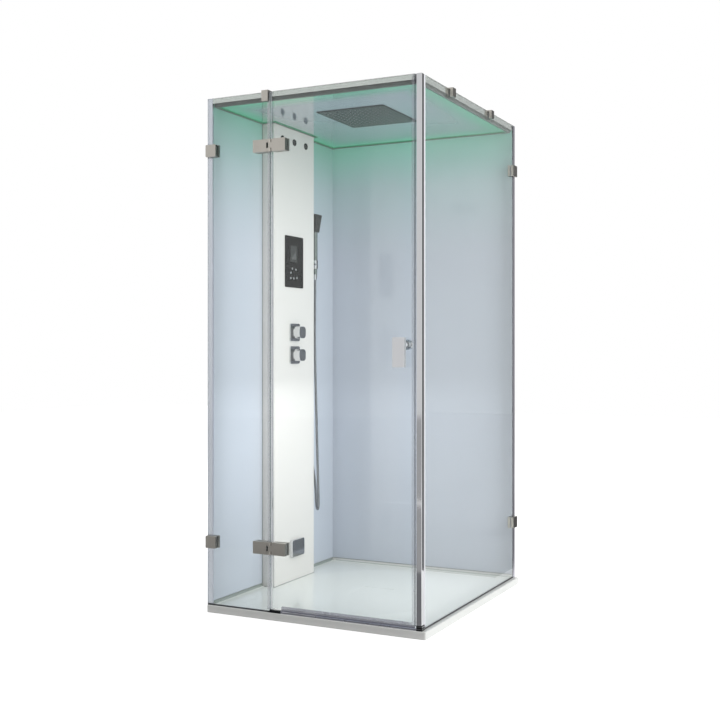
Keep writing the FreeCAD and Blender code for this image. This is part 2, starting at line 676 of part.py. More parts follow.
def make_brackets():
    outers = []
    inners = []
    pads = []
    half = BRACKET / 2
    holes = bracket_bolts(screw_hole)
    for z, hole in zip(LEFT_BRACKET_Z, holes[:2]):
        face = FRONT_OUT - GASKET_T
        plate = box(LEFT_BRACKET_X - half, LEFT_BRACKET_X + half, face - BRACKET_PROUD + GASKET_T,
                    face, z - half, z + half)
        outers.append(rounded(plate, (0, 1, 0), BRACKET_R).cut(hole))
        inner_face = FRONT_IN + GASKET_T
        inner = box(WALL_X, LEFT_BRACKET_X + half, inner_face, inner_face + BRACKET_INNER_T,
                    z - half, z + half)
        inners.append(inner.cut(hole))
        pad_x = LEFT_BRACKET_X + half - PAD_IN
        low, high = z - half + PAD_IN, z + half - PAD_IN
        pads.append(box(X_LEFT + BRACKET_PAD_IN, pad_x, face, FRONT_OUT, low, high).cut(hole))
        pads.append(box(WALL_X + PAD_IN, pad_x, FRONT_IN, inner_face, low, high).cut(hole))
    for z, hole in zip(RIGHT_BRACKET_Z, holes[2:]):
        face = SIDE_OUT + GASKET_T
        plate = box(face, face + BRACKET_PROUD - GASKET_T, RIGHT_BRACKET_Y - half,
                    RIGHT_BRACKET_Y + half, z - half, z + half)
        outers.append(rounded(plate, (1, 0, 0), BRACKET_R).cut(hole))
        inner_face = SIDE_IN - GASKET_T
        inner = box(inner_face - BRACKET_INNER_T, inner_face, RIGHT_BRACKET_Y - half, WALL_Y,
                    z - half, z + half)
        inners.append(inner.cut(hole))
        pad_y = RIGHT_BRACKET_Y - half + PAD_IN
        low, high = z - half + PAD_IN, z + half - PAD_IN
        pads.append(box(SIDE_OUT, face, pad_y, WALL_Y - PAD_IN, low, high).cut(hole))
        pads.append(box(inner_face, SIDE_IN, pad_y, WALL_Y - PAD_IN, low, high).cut(hole))
    NODES["wall_bracket_plates"] = group(outers)
    NODES["wall_bracket_blocks"] = group(inners)
    NODES["wall_bracket_bolts"] = group(bracket_bolts(screw))
    return pads


def glass_holes_front(xs, zs):
    return [rod((x, FRONT_OUT - 1, z), (0, 1, 0), GLASS_T + 2, GLASS_HOLE_R) for x in xs for z in zs]


def make_fixed_glass():
    front = box(X_LEFT + PAD_IN, FIXED_X, FRONT_OUT, FRONT_IN, GLASS_Z, HEIGHT)
    front = without(front, glass_holes_front([BRACKET_BOLT_X], LEFT_BRACKET_Z))
    NODES["front_fixed_glass"] = without(front, glass_holes_front(hinge_bolt_x(-1), HINGE_Z))
    side = box(SIDE_IN, SIDE_OUT, SIDE_START, WALL_Y, GLASS_Z, HEIGHT)
    holes = [rod((SIDE_IN - 1, BRACKET_BOLT_Y, z), (1, 0, 0), GLASS_T + 2, GLASS_HOLE_R)
             for z in RIGHT_BRACKET_Z]
    NODES["side_fixed_glass"] = without(side, holes)
    end_x = HINGE_X - THRESHOLD_END_W / 4
    NODES["fixed_glass_bed_seals"] = group([
        box(X_LEFT + PAD_IN, end_x - SEAL_END_GAP, FRONT_OUT, FRONT_IN, TRAY_H, GLASS_Z),
        box(SIDE_IN, SIDE_OUT, SIDE_START, WALL_Y, TRAY_H, GLASS_Z),
    ])
    NODES["post_side_seal"] = box(SIDE_IN, SIDE_OUT, POST_Y, SIDE_START, GLASS_Z, HEIGHT)
    magnet = box(DOOR_X1 + SEAL_LEG + MAGNET_GAP, POST_X, FRONT_OUT + 1, FRONT_IN - 1,
                 DOOR_Z, HEIGHT)
    NODES["post_magnet_strip"] = magnet
    NODES["fixed_edge_seal"] = edge_seal()


def edge_seal():
    """A clear profile on the fixed glass's edge, with a fin towards the door glass."""
    low = TRAY_H + THRESHOLD_END_H + 1
    outer = box(FIXED_X - SEAL_GRIP, FIXED_X + SEAL_LEG, FRONT_OUT - SEAL_LEG / 2,
                FRONT_IN + SEAL_LEG, low, HEIGHT)
    glass = box(FIXED_X - SEAL_GRIP - 1, FIXED_X, FRONT_OUT, FRONT_IN, 0, HEIGHT + 1)
    fin = box(FIXED_X, DOOR_X0 - FIN_GAP, FRONT_OUT + FIN_IN, FRONT_OUT + FIN_IN + FIN_T, low,
              HEIGHT)
    seal = joined([outer, fin]).cut(glass)
    leaves = [hinge_leaf_space(z) for z in HINGE_Z]
    half = CLAMP_W / 2
    clamp = box(CLAMP_FRONT_X - half - 1, CLAMP_FRONT_X + half + 1,
                FRONT_OUT - CLAMP_ROOM, FRONT_OUT, HEIGHT - CLAMP_FRONT_DROP - 1, HEIGHT + 1)
    rail = box(WALL_X, POST_X, FRONT_IN + SEAL_LEG / 2, POST_Y, HEIGHT - FRONT_RAIL_H - 1,
               HEIGHT + 1)
    return without(seal, leaves + [clamp, rail])


def hinge_leaf_space(z):
    """Room for a hinge where the edge seals are notched."""
    half = HINGE_H / 2 + 1
    return box(HINGE_X - HINGE_WEB - HINGE_PLATE_W, HINGE_X + HINGE_WEB + HINGE_PLATE_W,
               FRONT_OUT - HINGE_ROOM, FRONT_OUT, z - half, z + half).fuse(
           box(HINGE_X - HINGE_WEB - HINGE_PLATE_W, HINGE_X + HINGE_WEB + HINGE_PLATE_W,
               FRONT_IN, FRONT_IN + HINGE_ROOM, z - half, z + half))


# ---------------------------------------------------------------- hinges
def hinge_bolt_x(side):
    """The two bolts of a leaf; side is -1 on the fixed glass and +1 on the door."""
    return [HINGE_X + side * (HINGE_WEB + along) for along in HINGE_BOLTS]


def hinge_bolt(x, z, make):
    inner = FRONT_IN + GASKET_T + HINGE_INNER_T
    outer = FRONT_OUT - GASKET_T - HINGE_BOLT_END
    return make((x, inner, z), (0, -1, 0), inner - outer)


def hinge_plate_box(side, y0, y1, z, inset=0.0):
    near = HINGE_X + side * (HINGE_WEB + inset)
    far = HINGE_X + side * (HINGE_WEB + HINGE_PLATE_W - inset)
    half = HINGE_H / 2 - inset
    return box(min(near, far), max(near, far), y0, y1, z - half, z + half)


def hinge_knuckles(side, z):
    """Barrel segments with their webs: the ends on the fixed leaf, the middle on the door's."""
    low = z - HINGE_H / 2
    if side < 0:
        spans = [(low, low + KNUCKLE_END), (low + HINGE_H - KNUCKLE_END, low + HINGE_H)]
    else:
        spans = [(low + KNUCKLE_END + KNUCKLE_GAP, low + HINGE_H - KNUCKLE_END - KNUCKLE_GAP)]
    parts = []
    for z0, z1 in spans:
        barrel = rod((HINGE_X, HINGE_Y, z0), (0, 0, 1), z1 - z0, BARREL_R)
        edge = HINGE_X + side * HINGE_WEB
        web = box(min(edge, HINGE_X), max(edge, HINGE_X), HINGE_Y - BARREL_R,
                  FRONT_OUT - GASKET_T, z0, z1)
        web = web.cut(box(HINGE_X - BARREL_R, HINGE_X + BARREL_R, HINGE_Y, FRONT_OUT, z0, z1))
        parts += [barrel, web]
    return parts


def make_hinges():
    """Two glass hinges whose axis stands outside the glass, so the door clears its frame."""
    y_face = FRONT_OUT - GASKET_T
    y_out = FRONT_OUT - HINGE_PROUD
    for side, leaf in ((-1, "fixed"), (1, "door")):
        leaves = []
        backs = []
        pads = []
        bolts = []
        for z in HINGE_Z:
            holes = [hinge_bolt(x, z, screw_hole) for x in hinge_bolt_x(side)]
            plate = rounded(hinge_plate_box(side, y_out, y_face, z), (0, 1, 0), HINGE_R,
                            lambda c: abs(c.x - HINGE_X) > HINGE_WEB + 1)
            pin_hole = rod((HINGE_X, HINGE_Y, z - HINGE_H), (0, 0, 1), 2 * HINGE_H,
                           PIN_R + RUNNING)
            leaf_solid = joined([plate] + hinge_knuckles(side, z))
            leaves.append(without(leaf_solid, holes + [pin_hole]))
            back_y = FRONT_IN + GASKET_T
            back = hinge_plate_box(side, back_y, back_y + HINGE_INNER_T, z)
            backs.append(without(rounded(back, (0, 1, 0), HINGE_R), holes))
            pads.append(without(hinge_plate_box(side, y_face, FRONT_OUT, z, PAD_IN), holes))
            pads.append(without(hinge_plate_box(side, FRONT_IN, back_y, z, PAD_IN), holes))
            bolts += [hinge_bolt(x, z, screw) for x in hinge_bolt_x(side)]
        NODES["hinge_leaves_" + leaf] = group(leaves)
        NODES["hinge_backs_" + leaf] = group(backs)
        NODES["hinge_bolts_" + leaf] = group(bolts)
        NODES["hinge_pads_" + leaf] = group(pads)
    NODES["hinge_pins"] = group([rod((HINGE_X, HINGE_Y, z - HINGE_H / 2), (0, 0, 1), HINGE_H, PIN_R)
                                 for z in HINGE_Z])


# ---------------------------------------------------------------- door
def make_door():
    glass = box(DOOR_X0, DOOR_X1, FRONT_OUT, FRONT_IN, DOOR_Z, HEIGHT)
    glass = without(glass, glass_holes_front(hinge_bolt_x(1), HINGE_Z))
    knob_hole = rod((KNOB_X, FRONT_OUT - 1, KNOB_Z), (0, 1, 0), GLASS_T + 2, GLASS_HOLE_R)
    NODES["door_glass"] = glass.cut(knob_hole)
    slot = box(DOOR_X0 - 1, DOOR_X1, FRONT_OUT, FRONT_IN, DOOR_Z, HEIGHT + 1)
    seal_x0 = HINGE_X + 3 * THRESHOLD_END_W / 4 + SEAL_END_GAP
    bottom = box(seal_x0, DOOR_X1, FRONT_OUT - SEAL_LEG, FRONT_IN + SEAL_LEG,
                 DOOR_Z - SEAL_LEG, DOOR_Z + SEAL_GRIP)
    fin = box(seal_x0, DOOR_X1, FRONT_OUT + SEAL_LEG, FRONT_IN - FIN_IN, DOOR_Z - SEAL_FIN,
              DOOR_Z)
    NODES["door_bottom_seal"] = joined([bottom, fin]).cut(slot)
    edge_z = DOOR_Z + SEAL_GRIP
    edge = box(DOOR_X1 - SEAL_GRIP, DOOR_X1 + SEAL_LEG, FRONT_OUT - SEAL_LEG,
               FRONT_IN + SEAL_LEG / 2, edge_z, HEIGHT)
    NODES["door_magnet_seal"] = edge.cut(slot)
    threshold_x = HINGE_X - THRESHOLD_END_W / 4
    end_x = threshold_x + THRESHOLD_END_W
    end_piece = rounded(
        box(threshold_x, end_x, FRONT_OUT - THRESHOLD_END_PROUD, FRONT_IN + SEAL_LEG, TRAY_H,
            TRAY_H + THRESHOLD_END_H),
        (0, 0, 1), THRESHOLD_R)
    glass_room = box(threshold_x - 1, FIXED_X + SEAL_LEG / 2,
                     FRONT_OUT - THRESHOLD_END_PROUD - 1, FRONT_IN + SEAL_LEG + 1, GLASS_Z,
                     TRAY_H + THRESHOLD_END_H + 1)
    NODES["threshold_end_piece"] = end_piece.cut(glass_room)
    NODES["threshold_strip"] = box(end_x, POST_X, FRONT_OUT, FRONT_IN, TRAY_H,
                                   TRAY_H + THRESHOLD_H)


def make_handle():
    outer = FRONT_OUT - HANDLE_STANDOFF
    plate = box(HANDLE_X0, HANDLE_X0 + HANDLE_W, outer - HANDLE_T, outer, HANDLE_Z,
                HANDLE_Z + HANDLE_H)
    plate = rounded(plate, (0, 1, 0), HANDLE_R)
    post = rod((KNOB_X, FRONT_OUT - GASKET_T, KNOB_Z), (0, -1, 0), HANDLE_STANDOFF - GASKET_T,
               HANDLE_POST_R)
    bolt_len = HANDLE_STANDOFF + GLASS_T + KNOB_LEN
    bolt_start = (KNOB_X, outer - HANDLE_T / 2, KNOB_Z)
    bolt_hole = rod(bolt_start, (0, 1, 0), bolt_len, HANDLE_BOLT_R + SCREW_CLEAR)
    NODES["door_handle_plate"] = joined([plate, post]).cut(bolt_hole)
    NODES["door_handle_bolt"] = rod(bolt_start, (0, 1, 0), bolt_len, HANDLE_BOLT_R)
    knob_y = FRONT_IN + GASKET_T
    neck = rod((KNOB_X, knob_y, KNOB_Z), (0, 1, 0), KNOB_NECK, KNOB_NECK_R)
    head = rod((KNOB_X, knob_y + KNOB_NECK, KNOB_Z), (0, 1, 0), KNOB_LEN - KNOB_NECK, KNOB_R)
    rim = [e for e in head.Edges if abs(e.CenterOfMass.y - knob_y - KNOB_LEN) < ON_PLANE
           and abs(e.CenterOfMass.x - KNOB_X) < ON_PLANE]
    head = head.makeFillet(KNOB_RIM_R, rim)
    NODES["door_inner_knob"] = joined([neck, head]).cut(bolt_hole)
    NODES["handle_washers"] = group([
        pipe_ring((KNOB_X, FRONT_OUT, KNOB_Z), (0, -1, 0), GASKET_T, HANDLE_POST_R + WASHER_RIM,
                  HANDLE_BOLT_R + SCREW_CLEAR),
        pipe_ring((KNOB_X, FRONT_IN, KNOB_Z), (0, 1, 0), GASKET_T, KNOB_NECK_R + WASHER_RIM,
                  HANDLE_BOLT_R + SCREW_CLEAR),
    ])


# ---------------------------------------------------------------- column and what it carries
def make_column():
    shell = box(WALL_X, COLUMN_X, COLUMN_Y[0], COLUMN_Y[1], TRAY_H, CEILING_Z)
    shell = rounded(shell, (0, 0, 1), COLUMN_R, lambda c: c.x > COLUMN_BACK)
    core = box(WALL_X - 1, COLUMN_BACK, COLUMN_Y[0] + COLUMN_T, COLUMN_Y[1] - COLUMN_T,
               TRAY_H - 1, CEILING_Z + 1)
    cuts = [core]
    for y in JET_Y:
        cuts.append(rod((COLUMN_BACK - 1, y, JET_Z), (1, 0, 0), COLUMN_T + 2,
                        JET_SLEEVE_R + SCREW_CLEAR))
    for z in (MIXER_Z, DIVERTER_Z):
        cuts.append(rod((COLUMN_BACK - 1, VALVE_Y, z), (1, 0, 0), COLUMN_T + 2,
                        VALVE_SPINDLE_R + SPINDLE_HOLE_CLEAR))
    cuts.append(rod((COLUMN_BACK - 1, STEAM_OUT_Y, STEAM_OUT_Z), (1, 0, 0), COLUMN_T + 2,
                    PIPE_R + STEAM_HOLE_CLEAR))
    cuts.append(rod((COLUMN_X - ELBOW_IN, COLUMN_Y[1] - COLUMN_T - 1, ELBOW_Z), (0, 1, 0),
                    COLUMN_T + 2, ELBOW_R + SCREW_CLEAR))
    cuts.append(rod((COLUMN_BACK - 1, CABLE_Y, CABLE_Z), (1, 0, 0), COLUMN_T + 2, GLAND_R))
    NODES["column_shell"] = without(shell, cuts)


def make_jets():
    bezels = []
    stubs = []
    sleeve_back = COLUMN_X + JET_BEZEL_T - JET_SLEEVE_LEN
    manifold_front = sleeve_back - MANIFOLD_GAP
    half = PIPE_R + MANIFOLD_RIM
    manifold_back = manifold_front - 2 * half
    for i, y in enumerate(JET_Y):
        flange = rod((COLUMN_X, y, JET_Z), (1, 0, 0), JET_BEZEL_T, JET_BEZEL_R)
        rim = [e for e in flange.Edges if abs(e.CenterOfMass.x - COLUMN_X - JET_BEZEL_T) < ON_PLANE]
        flange = flange.makeFillet(JET_BEZEL_EDGE, rim)
        sleeve = rod((sleeve_back, y, JET_Z), (1, 0, 0), JET_SLEEVE_LEN, JET_SLEEVE_R)
        bore = rod((sleeve_back - 1, y, JET_Z), (1, 0, 0), JET_SLEEVE_LEN + 2,
                   JET_BALL_R + RUNNING)
        bezels.append(joined([flange, sleeve]).cut(bore))
        centre_x = COLUMN_X - JET_BALL_IN
        ball = Part.makeSphere(JET_BALL_R, V(centre_x, y, JET_Z))
        front = COLUMN_X + JET_BEZEL_T
        reach = 2 * JET_BALL_R
        ball = ball.cut(box(front, front + reach, y - reach, y + reach, JET_Z - reach,
                            JET_Z + reach))
        ball = ball.cut(rod((centre_x - reach, y, JET_Z), (1, 0, 0), 2 * reach, JET_HOLE_R))
        NODES["jet_nozzle_%d" % (i + 1)] = ball
        stubs.append(pipe_ring((manifold_front - MANIFOLD_WALL, y, JET_Z), (1, 0, 0),
                               MANIFOLD_GAP + MANIFOLD_WALL, JET_SLEEVE_R, PIPE_R))
    NODES["jet_bezels"] = group(bezels)
    y0 = JET_Y[0] - MANIFOLD_END
    y1 = JET_Y[-1] + MANIFOLD_END
    bar = box(manifold_back, manifold_front, y0, y1, JET_Z - half, JET_Z + half)
    wall = MANIFOLD_WALL
    channel = box(manifold_back + wall, manifold_front - wall, y0 + wall, y1 - wall,
                  JET_Z - half + wall, JET_Z + half - wall)
    ports = [rod((manifold_front - 2 * wall, y, JET_Z), (1, 0, 0), 4 * wall, PIPE_R) for y in JET_Y]
    feed_hole = rod((PIPE_X, JET_FEED_Y, JET_Z - half - 1), (0, 0, 1), wall + 2, PIPE_R - PIPE_WALL)
    NODES["jet_manifold"] = without(joined([bar] + stubs), [channel, feed_hole] + ports)
    return JET_Z - half


def make_control_panel():
    plate = box(COLUMN_X, COLUMN_X + PANEL_T, PANEL_Y[0], PANEL_Y[1], PANEL_Z[0], PANEL_Z[1])
    plate = rounded(plate, (1, 0, 0), PANEL_R)
    pocket = box(COLUMN_X + PANEL_T - DISPLAY_T, COLUMN_X + PANEL_T + 1, DISPLAY_Y[0],
                 DISPLAY_Y[1], DISPLAY_Z[0], DISPLAY_Z[1])
    NODES["control_panel"] = plate.cut(pocket)
    NODES["panel_display"] = box(COLUMN_X + PANEL_T - DISPLAY_T, COLUMN_X + PANEL_T,
                                 DISPLAY_Y[0], DISPLAY_Y[1], DISPLAY_Z[0], DISPLAY_Z[1])
    board_x = COLUMN_BACK - BOARD_BACK
    y0 = PANEL_Y[0] + BOARD_MARGIN
    y1 = PANEL_Y[1] - BOARD_MARGIN
    z0 = CABLE_Z + GLAND_R + BOARD_CABLE_GAP
    z1 = PANEL_Z[1] - BOARD_MARGIN
    board = box(board_x - BOARD_T, board_x, y0, y1, z0, z1)
    posts = []
    for y in (y0 + BOARD_POST_IN, y1 - BOARD_POST_IN):
        for z in (z0 + BOARD_POST_IN, z1 - BOARD_POST_IN):
            posts.append(rod((board_x - BOARD_T, y, z), (1, 0, 0), BOARD_BACK + BOARD_T,
                             BOARD_POST_R))
    NODES["control_board"] = joined([board] + posts)


def make_valves():
    """The mixer above and the diverter below, each with its plate and knob."""
    back = WALL_X + VALVE_BACK
    for name, z in (("mixer", MIXER_Z), ("diverter", DIVERTER_Z)):
        half = ESCUTCHEON / 2
        plate = box(COLUMN_X, COLUMN_X + ESCUTCHEON_T, VALVE_Y - half, VALVE_Y + half,
                    z - half, z + half)
        plate = rounded(plate, (1, 0, 0), ESCUTCHEON_R)
        front_edges = [e for e in plate.Edges
                       if abs(e.CenterOfMass.x - COLUMN_X - ESCUTCHEON_T) < ON_PLANE]
        plate = plate.makeFillet(ESCUTCHEON_EDGE, front_edges)
        hole = rod((COLUMN_X - 1, VALVE_Y, z), (1, 0, 0), ESCUTCHEON_T + 2,
                   VALVE_SPINDLE_R + SPINDLE_CLEAR)
        NODES[name + "_plate"] = plate.cut(hole)
        body = rod((back, VALVE_Y, z), (1, 0, 0), COLUMN_BACK - back, VALVE_BODY_R)
        spindle_end = COLUMN_X + ESCUTCHEON_T + VALVE_GAP + KNOB_BORE_LEN - 1
        spindle = rod((COLUMN_BACK - 1, VALVE_Y, z), (1, 0, 0), spindle_end - COLUMN_BACK + 1,
                      VALVE_SPINDLE_R)
        NODES[name + "_body"] = joined([body, spindle])
        knob_half = KNOB_SIZE / 2
        knob_x = COLUMN_X + ESCUTCHEON_T + VALVE_GAP
        knob = box(knob_x, COLUMN_X + KNOB_PROUD, VALVE_Y - knob_half, VALVE_Y + knob_half,
                   z - knob_half, z + knob_half)
        knob = rounded(knob, (1, 0, 0), KNOB_CORNER_R)
        rim = [e for e in knob.Edges if abs(e.CenterOfMass.x - COLUMN_X - KNOB_PROUD) < ON_PLANE]
        knob = knob.makeFillet(KNOB_EDGE, rim)
        bore = rod((knob_x - 1, VALVE_Y, z), (1, 0, 0), KNOB_BORE_LEN + 1,
                   VALVE_SPINDLE_R + RUNNING)
        NODES[name + "_knob"] = knob.cut(bore)


def make_water_ways(manifold_under):
    inlets = []
    tails = []
    for sign in (-1, 1):
        y = VALVE_Y + sign * INLET_SPACING / 2
        union = rod((X_LEFT, y, MIXER_Z), (1, 0, 0), PIPE_X + INLET_R - X_LEFT, INLET_R)
        union = union.cut(rod((X_LEFT - 1, y, MIXER_Z), (1, 0, 0), INLET_THREAD_LEN + 1,
                              INLET_THREAD_R))
        bore_r = PIPE_R - PIPE_WALL
        union = union.cut(rod((X_LEFT, y, MIXER_Z), (1, 0, 0), PIPE_X - X_LEFT, bore_r))
        union = union.cut(rod((PIPE_X, y, MIXER_Z), (0, -sign, 0), INLET_R + 1, bore_r))
        inlets.append(union)
        reach = math.sqrt(INLET_R ** 2 - PIPE_R ** 2)
        start = y - sign * reach
        length = INLET_SPACING / 2 - reach - VALVE_BODY_R
        tail = pipe_ring((PIPE_X, start, MIXER_Z), (0, -sign, 0), length + PIPE_SOCKET, PIPE_R,
                         bore_r)
        tail = without(tail, [rod((WALL_X, VALVE_Y, MIXER_Z), (1, 0, 0), COLUMN_DEPTH, VALVE_BODY_R),
                              rod((X_LEFT, y, MIXER_Z), (1, 0, 0), WALL_T + COLUMN_DEPTH, INLET_R)])
        tails.append(tail)
    link = pipe_ring((PIPE_X, VALVE_Y, DIVERTER_Z), (0, 0, 1), MIXER_Z - DIVERTER_Z, PIPE_R,
                     PIPE_R - PIPE_WALL)
    link = without(link, [rod((WALL_X, VALVE_Y, z), (1, 0, 0), COLUMN_DEPTH, VALVE_BODY_R)
                          for z in (MIXER_Z, DIVERTER_Z)])
    NODES["inlet_unions"] = group(inlets)
    NODES["mixer_pipes"] = group(tails + [link])
    head_side = RAIN_X - RAIN_BODY / 2
    pipe_z = CEILING_Z + CEILING_T + PIPE_R + 1
    start_y = VALVE_Y + VALVE_BODY_R - PIPE_SOCKET
    body = rod((WALL_X, VALVE_Y, DIVERTER_Z), (1, 0, 0), COLUMN_DEPTH, VALVE_BODY_R)
    last_x = head_side - RAIN_PIPE_RUN
    rain = water_pipe([(PIPE_X, start_y, DIVERTER_Z), (PIPE_X, RISER_Y, DIVERTER_Z),
                       (PIPE_X, RISER_Y, pipe_z), (last_x, RISER_Y, pipe_z),
                       (last_x, RAIN_Y, pipe_z), (head_side, RAIN_Y, pipe_z)])
    NODES["rain_pipe"] = rain.cut(body)
    start_y = VALVE_Y - VALVE_BODY_R + PIPE_SOCKET
    jet = water_pipe([(PIPE_X, start_y, DIVERTER_Z), (PIPE_X, JET_FEED_Y, DIVERTER_Z),
                      (PIPE_X, JET_FEED_Y, manifold_under)])
    NODES["jet_pipe"] = jet.cut(body)
    elbow_y = COLUMN_Y[1] - COLUMN_T - HOSE_FEED_END
    elbow_x = COLUMN_X - ELBOW_IN
    hose = water_pipe([(PIPE_X, VALVE_Y, DIVERTER_Z - VALVE_BODY_R + PIPE_SOCKET),
                       (PIPE_X, VALVE_Y, ELBOW_Z + HOSE_FEED_RISE),
                       (elbow_x, VALVE_Y + HOSE_FEED_SLANT, ELBOW_Z), (elbow_x, elbow_y, ELBOW_Z)])
    NODES["hose_feed_pipe"] = hose.cut(body)
    return elbow_y


def make_steam():
    half_w = STEAM_OUT_W / 2
    half_h = STEAM_OUT_H / 2
    cover = box(COLUMN_X, COLUMN_X + STEAM_OUT_PROUD, STEAM_OUT_Y - half_w, STEAM_OUT_Y + half_w,
                STEAM_OUT_Z - half_h, STEAM_OUT_Z + half_h)
    cover = rounded(cover, (1, 0, 0), STEAM_OUT_R)
    rim = [e for e in cover.Edges if abs(e.CenterOfMass.x - COLUMN_X - STEAM_OUT_PROUD) < ON_PLANE]
    cover = cover.makeFillet(STEAM_OUT_EDGE, rim)
    wall = STEAM_OUT_WALL
    hollow = box(COLUMN_X - 1, COLUMN_X + STEAM_OUT_PROUD - wall, STEAM_OUT_Y - half_w + wall,
                 STEAM_OUT_Y + half_w - wall, STEAM_OUT_Z - half_h + wall,
                 STEAM_OUT_Z + half_h - wall)
    slot_half = half_w - STEAM_SLOT_IN
    slot = box(COLUMN_X + STEAM_SLOT_BACK, COLUMN_X + STEAM_OUT_PROUD - wall - 1,
               STEAM_OUT_Y - slot_half, STEAM_OUT_Y + slot_half, STEAM_OUT_Z - half_h - 1,
               STEAM_OUT_Z - half_h + wall + 1)
    NODES["steam_outlet_cover"] = without(cover, [hollow, slot])
    back = WALL_X + TANK_BACK
    tank = box(back, COLUMN_BACK, TANK_Y[0], TANK_Y[1], TANK_Z[0], TANK_Z[1])
    tank = rounded(tank, (0, 0, 1), TANK_R)
    inside = box(back + TANK_T, COLUMN_BACK - TANK_T, TANK_Y[0] + TANK_T, TANK_Y[1] - TANK_T,
                 TANK_Z[0] + TANK_T, TANK_Z[1] - TANK_T)
    outlet_y = TANK_Y[1] - TANK_OUTLET_IN
    outlet = rod((PIPE_X, outlet_y, TANK_Z[1] - TANK_T - 1), (0, 0, 1), TANK_T + 2,
                 PIPE_R - PIPE_WALL)
    flange_hole = rod((PIPE_X, 0, TANK_Z[0] - 1), (0, 0, 1), TANK_T + 2,
                      ELEMENT_PLUG_R)
    NODES["steam_tank"] = without(tank, [inside, outlet, flange_hole])
    rods = [rod((PIPE_X, side * ELEMENT_HALF, TANK_Z[0]), (0, 0, 1), ELEMENT_LEN, ELEMENT_R)
            for side in (-1, 1)]
    bridge = rod((PIPE_X, -ELEMENT_HALF, TANK_Z[0] + ELEMENT_LEN - ELEMENT_R), (0, 1, 0),
                 2 * ELEMENT_HALF, ELEMENT_R)
    plug = rod((PIPE_X, 0, TANK_Z[0] - ELEMENT_PLUG_LEN), (0, 0, 1), ELEMENT_PLUG_LEN + TANK_T,
               ELEMENT_PLUG_R - ELEMENT_PLUG_CLEAR)
    flange = rod((PIPE_X, 0, TANK_Z[0] - ELEMENT_FLANGE_T), (0, 0, 1), ELEMENT_FLANGE_T,
                 ELEMENT_FLANGE_R)
    NODES["heating_element"] = joined([plug, flange, bridge] + rods)
    drop_y = TANK_Y[1] + STEAM_PIPE_OUT
    rise_z = TANK_Z[1] + STEAM_PIPE_RISE
    pipe = water_pipe([(PIPE_X, outlet_y, TANK_Z[1]), (PIPE_X, outlet_y, rise_z),
                       (PIPE_X, drop_y, rise_z), (PIPE_X, drop_y, STEAM_OUT_Z),
                       (PIPE_X, STEAM_OUT_Y, STEAM_OUT_Z), (COLUMN_X - 1, STEAM_OUT_Y, STEAM_OUT_Z)])
    NODES["steam_pipe"] = pipe
    case = box(back, COLUMN_BACK, CONTROL_BOX_Y[0], CONTROL_BOX_Y[1], CONTROL_BOX_Z[0],
               CONTROL_BOX_Z[1])
    case_wall = CONTROL_BOX_WALL
    case_inside = box(back + case_wall, COLUMN_BACK - case_wall, CONTROL_BOX_Y[0] + case_wall,
                      CONTROL_BOX_Y[1] - case_wall, CONTROL_BOX_Z[0] + case_wall,
                      CONTROL_BOX_Z[1] - case_wall)
    entry = rod((back - 1, GLAND_Y, GLAND_Z), (1, 0, 0), case_wall + 2, GLAND_BORE_R)
    NODES["control_box"] = without(rounded(case, (0, 0, 1), CONTROL_BOX_R), [case_inside, entry])
    NODES["cable_gland"] = pipe_ring((X_LEFT, GLAND_Y, GLAND_Z), (1, 0, 0), back - X_LEFT,
                                     GLAND_R, GLAND_BORE_R)


# ---------------------------------------------------------------- rain head
def make_rain_head():
    half = RAIN_SIZE / 2
    plate = box(RAIN_X - half, RAIN_X + half, RAIN_Y - half, RAIN_Y + half, CEILING_Z - RAIN_T,
                CEILING_Z)
    plate = rounded(plate, (0, 0, 1), RAIN_R)
    first = -(RAIN_ROWS - 1) * RAIN_PITCH / 2
    holes = []
    for row in range(RAIN_ROWS):
        for col in range(RAIN_ROWS):
            x = RAIN_X + first + row * RAIN_PITCH
            y = RAIN_Y + first + col * RAIN_PITCH
            holes.append(rod((x, y, CEILING_Z - RAIN_T - 1), (0, 0, 1), RAIN_T + 2, RAIN_HOLE_R))
    NODES["rain_head_plate"] = plate.cut(Part.makeCompound(holes))
    half = RAIN_BODY / 2
    body = box(RAIN_X - half, RAIN_X + half, RAIN_Y - half, RAIN_Y + half, CEILING_Z,
               CEILING_Z + RAIN_BODY_H)
    inner = half - RAIN_WALL
    chamber = box(RAIN_X - inner, RAIN_X + inner, RAIN_Y - inner, RAIN_Y + inner, CEILING_Z - 1,
                  CEILING_Z + RAIN_BODY_H - RAIN_WALL)
    pipe_z = CEILING_Z + CEILING_T + PIPE_R + 1
    port = rod((RAIN_X - half - 1, RAIN_Y, pipe_z), (1, 0, 0), RAIN_WALL + 2,
               (PIPE_R - PIPE_WALL) * RAIN_PORT_SHARE)
    NODES["rain_head_body"] = without(body, [chamber, port])


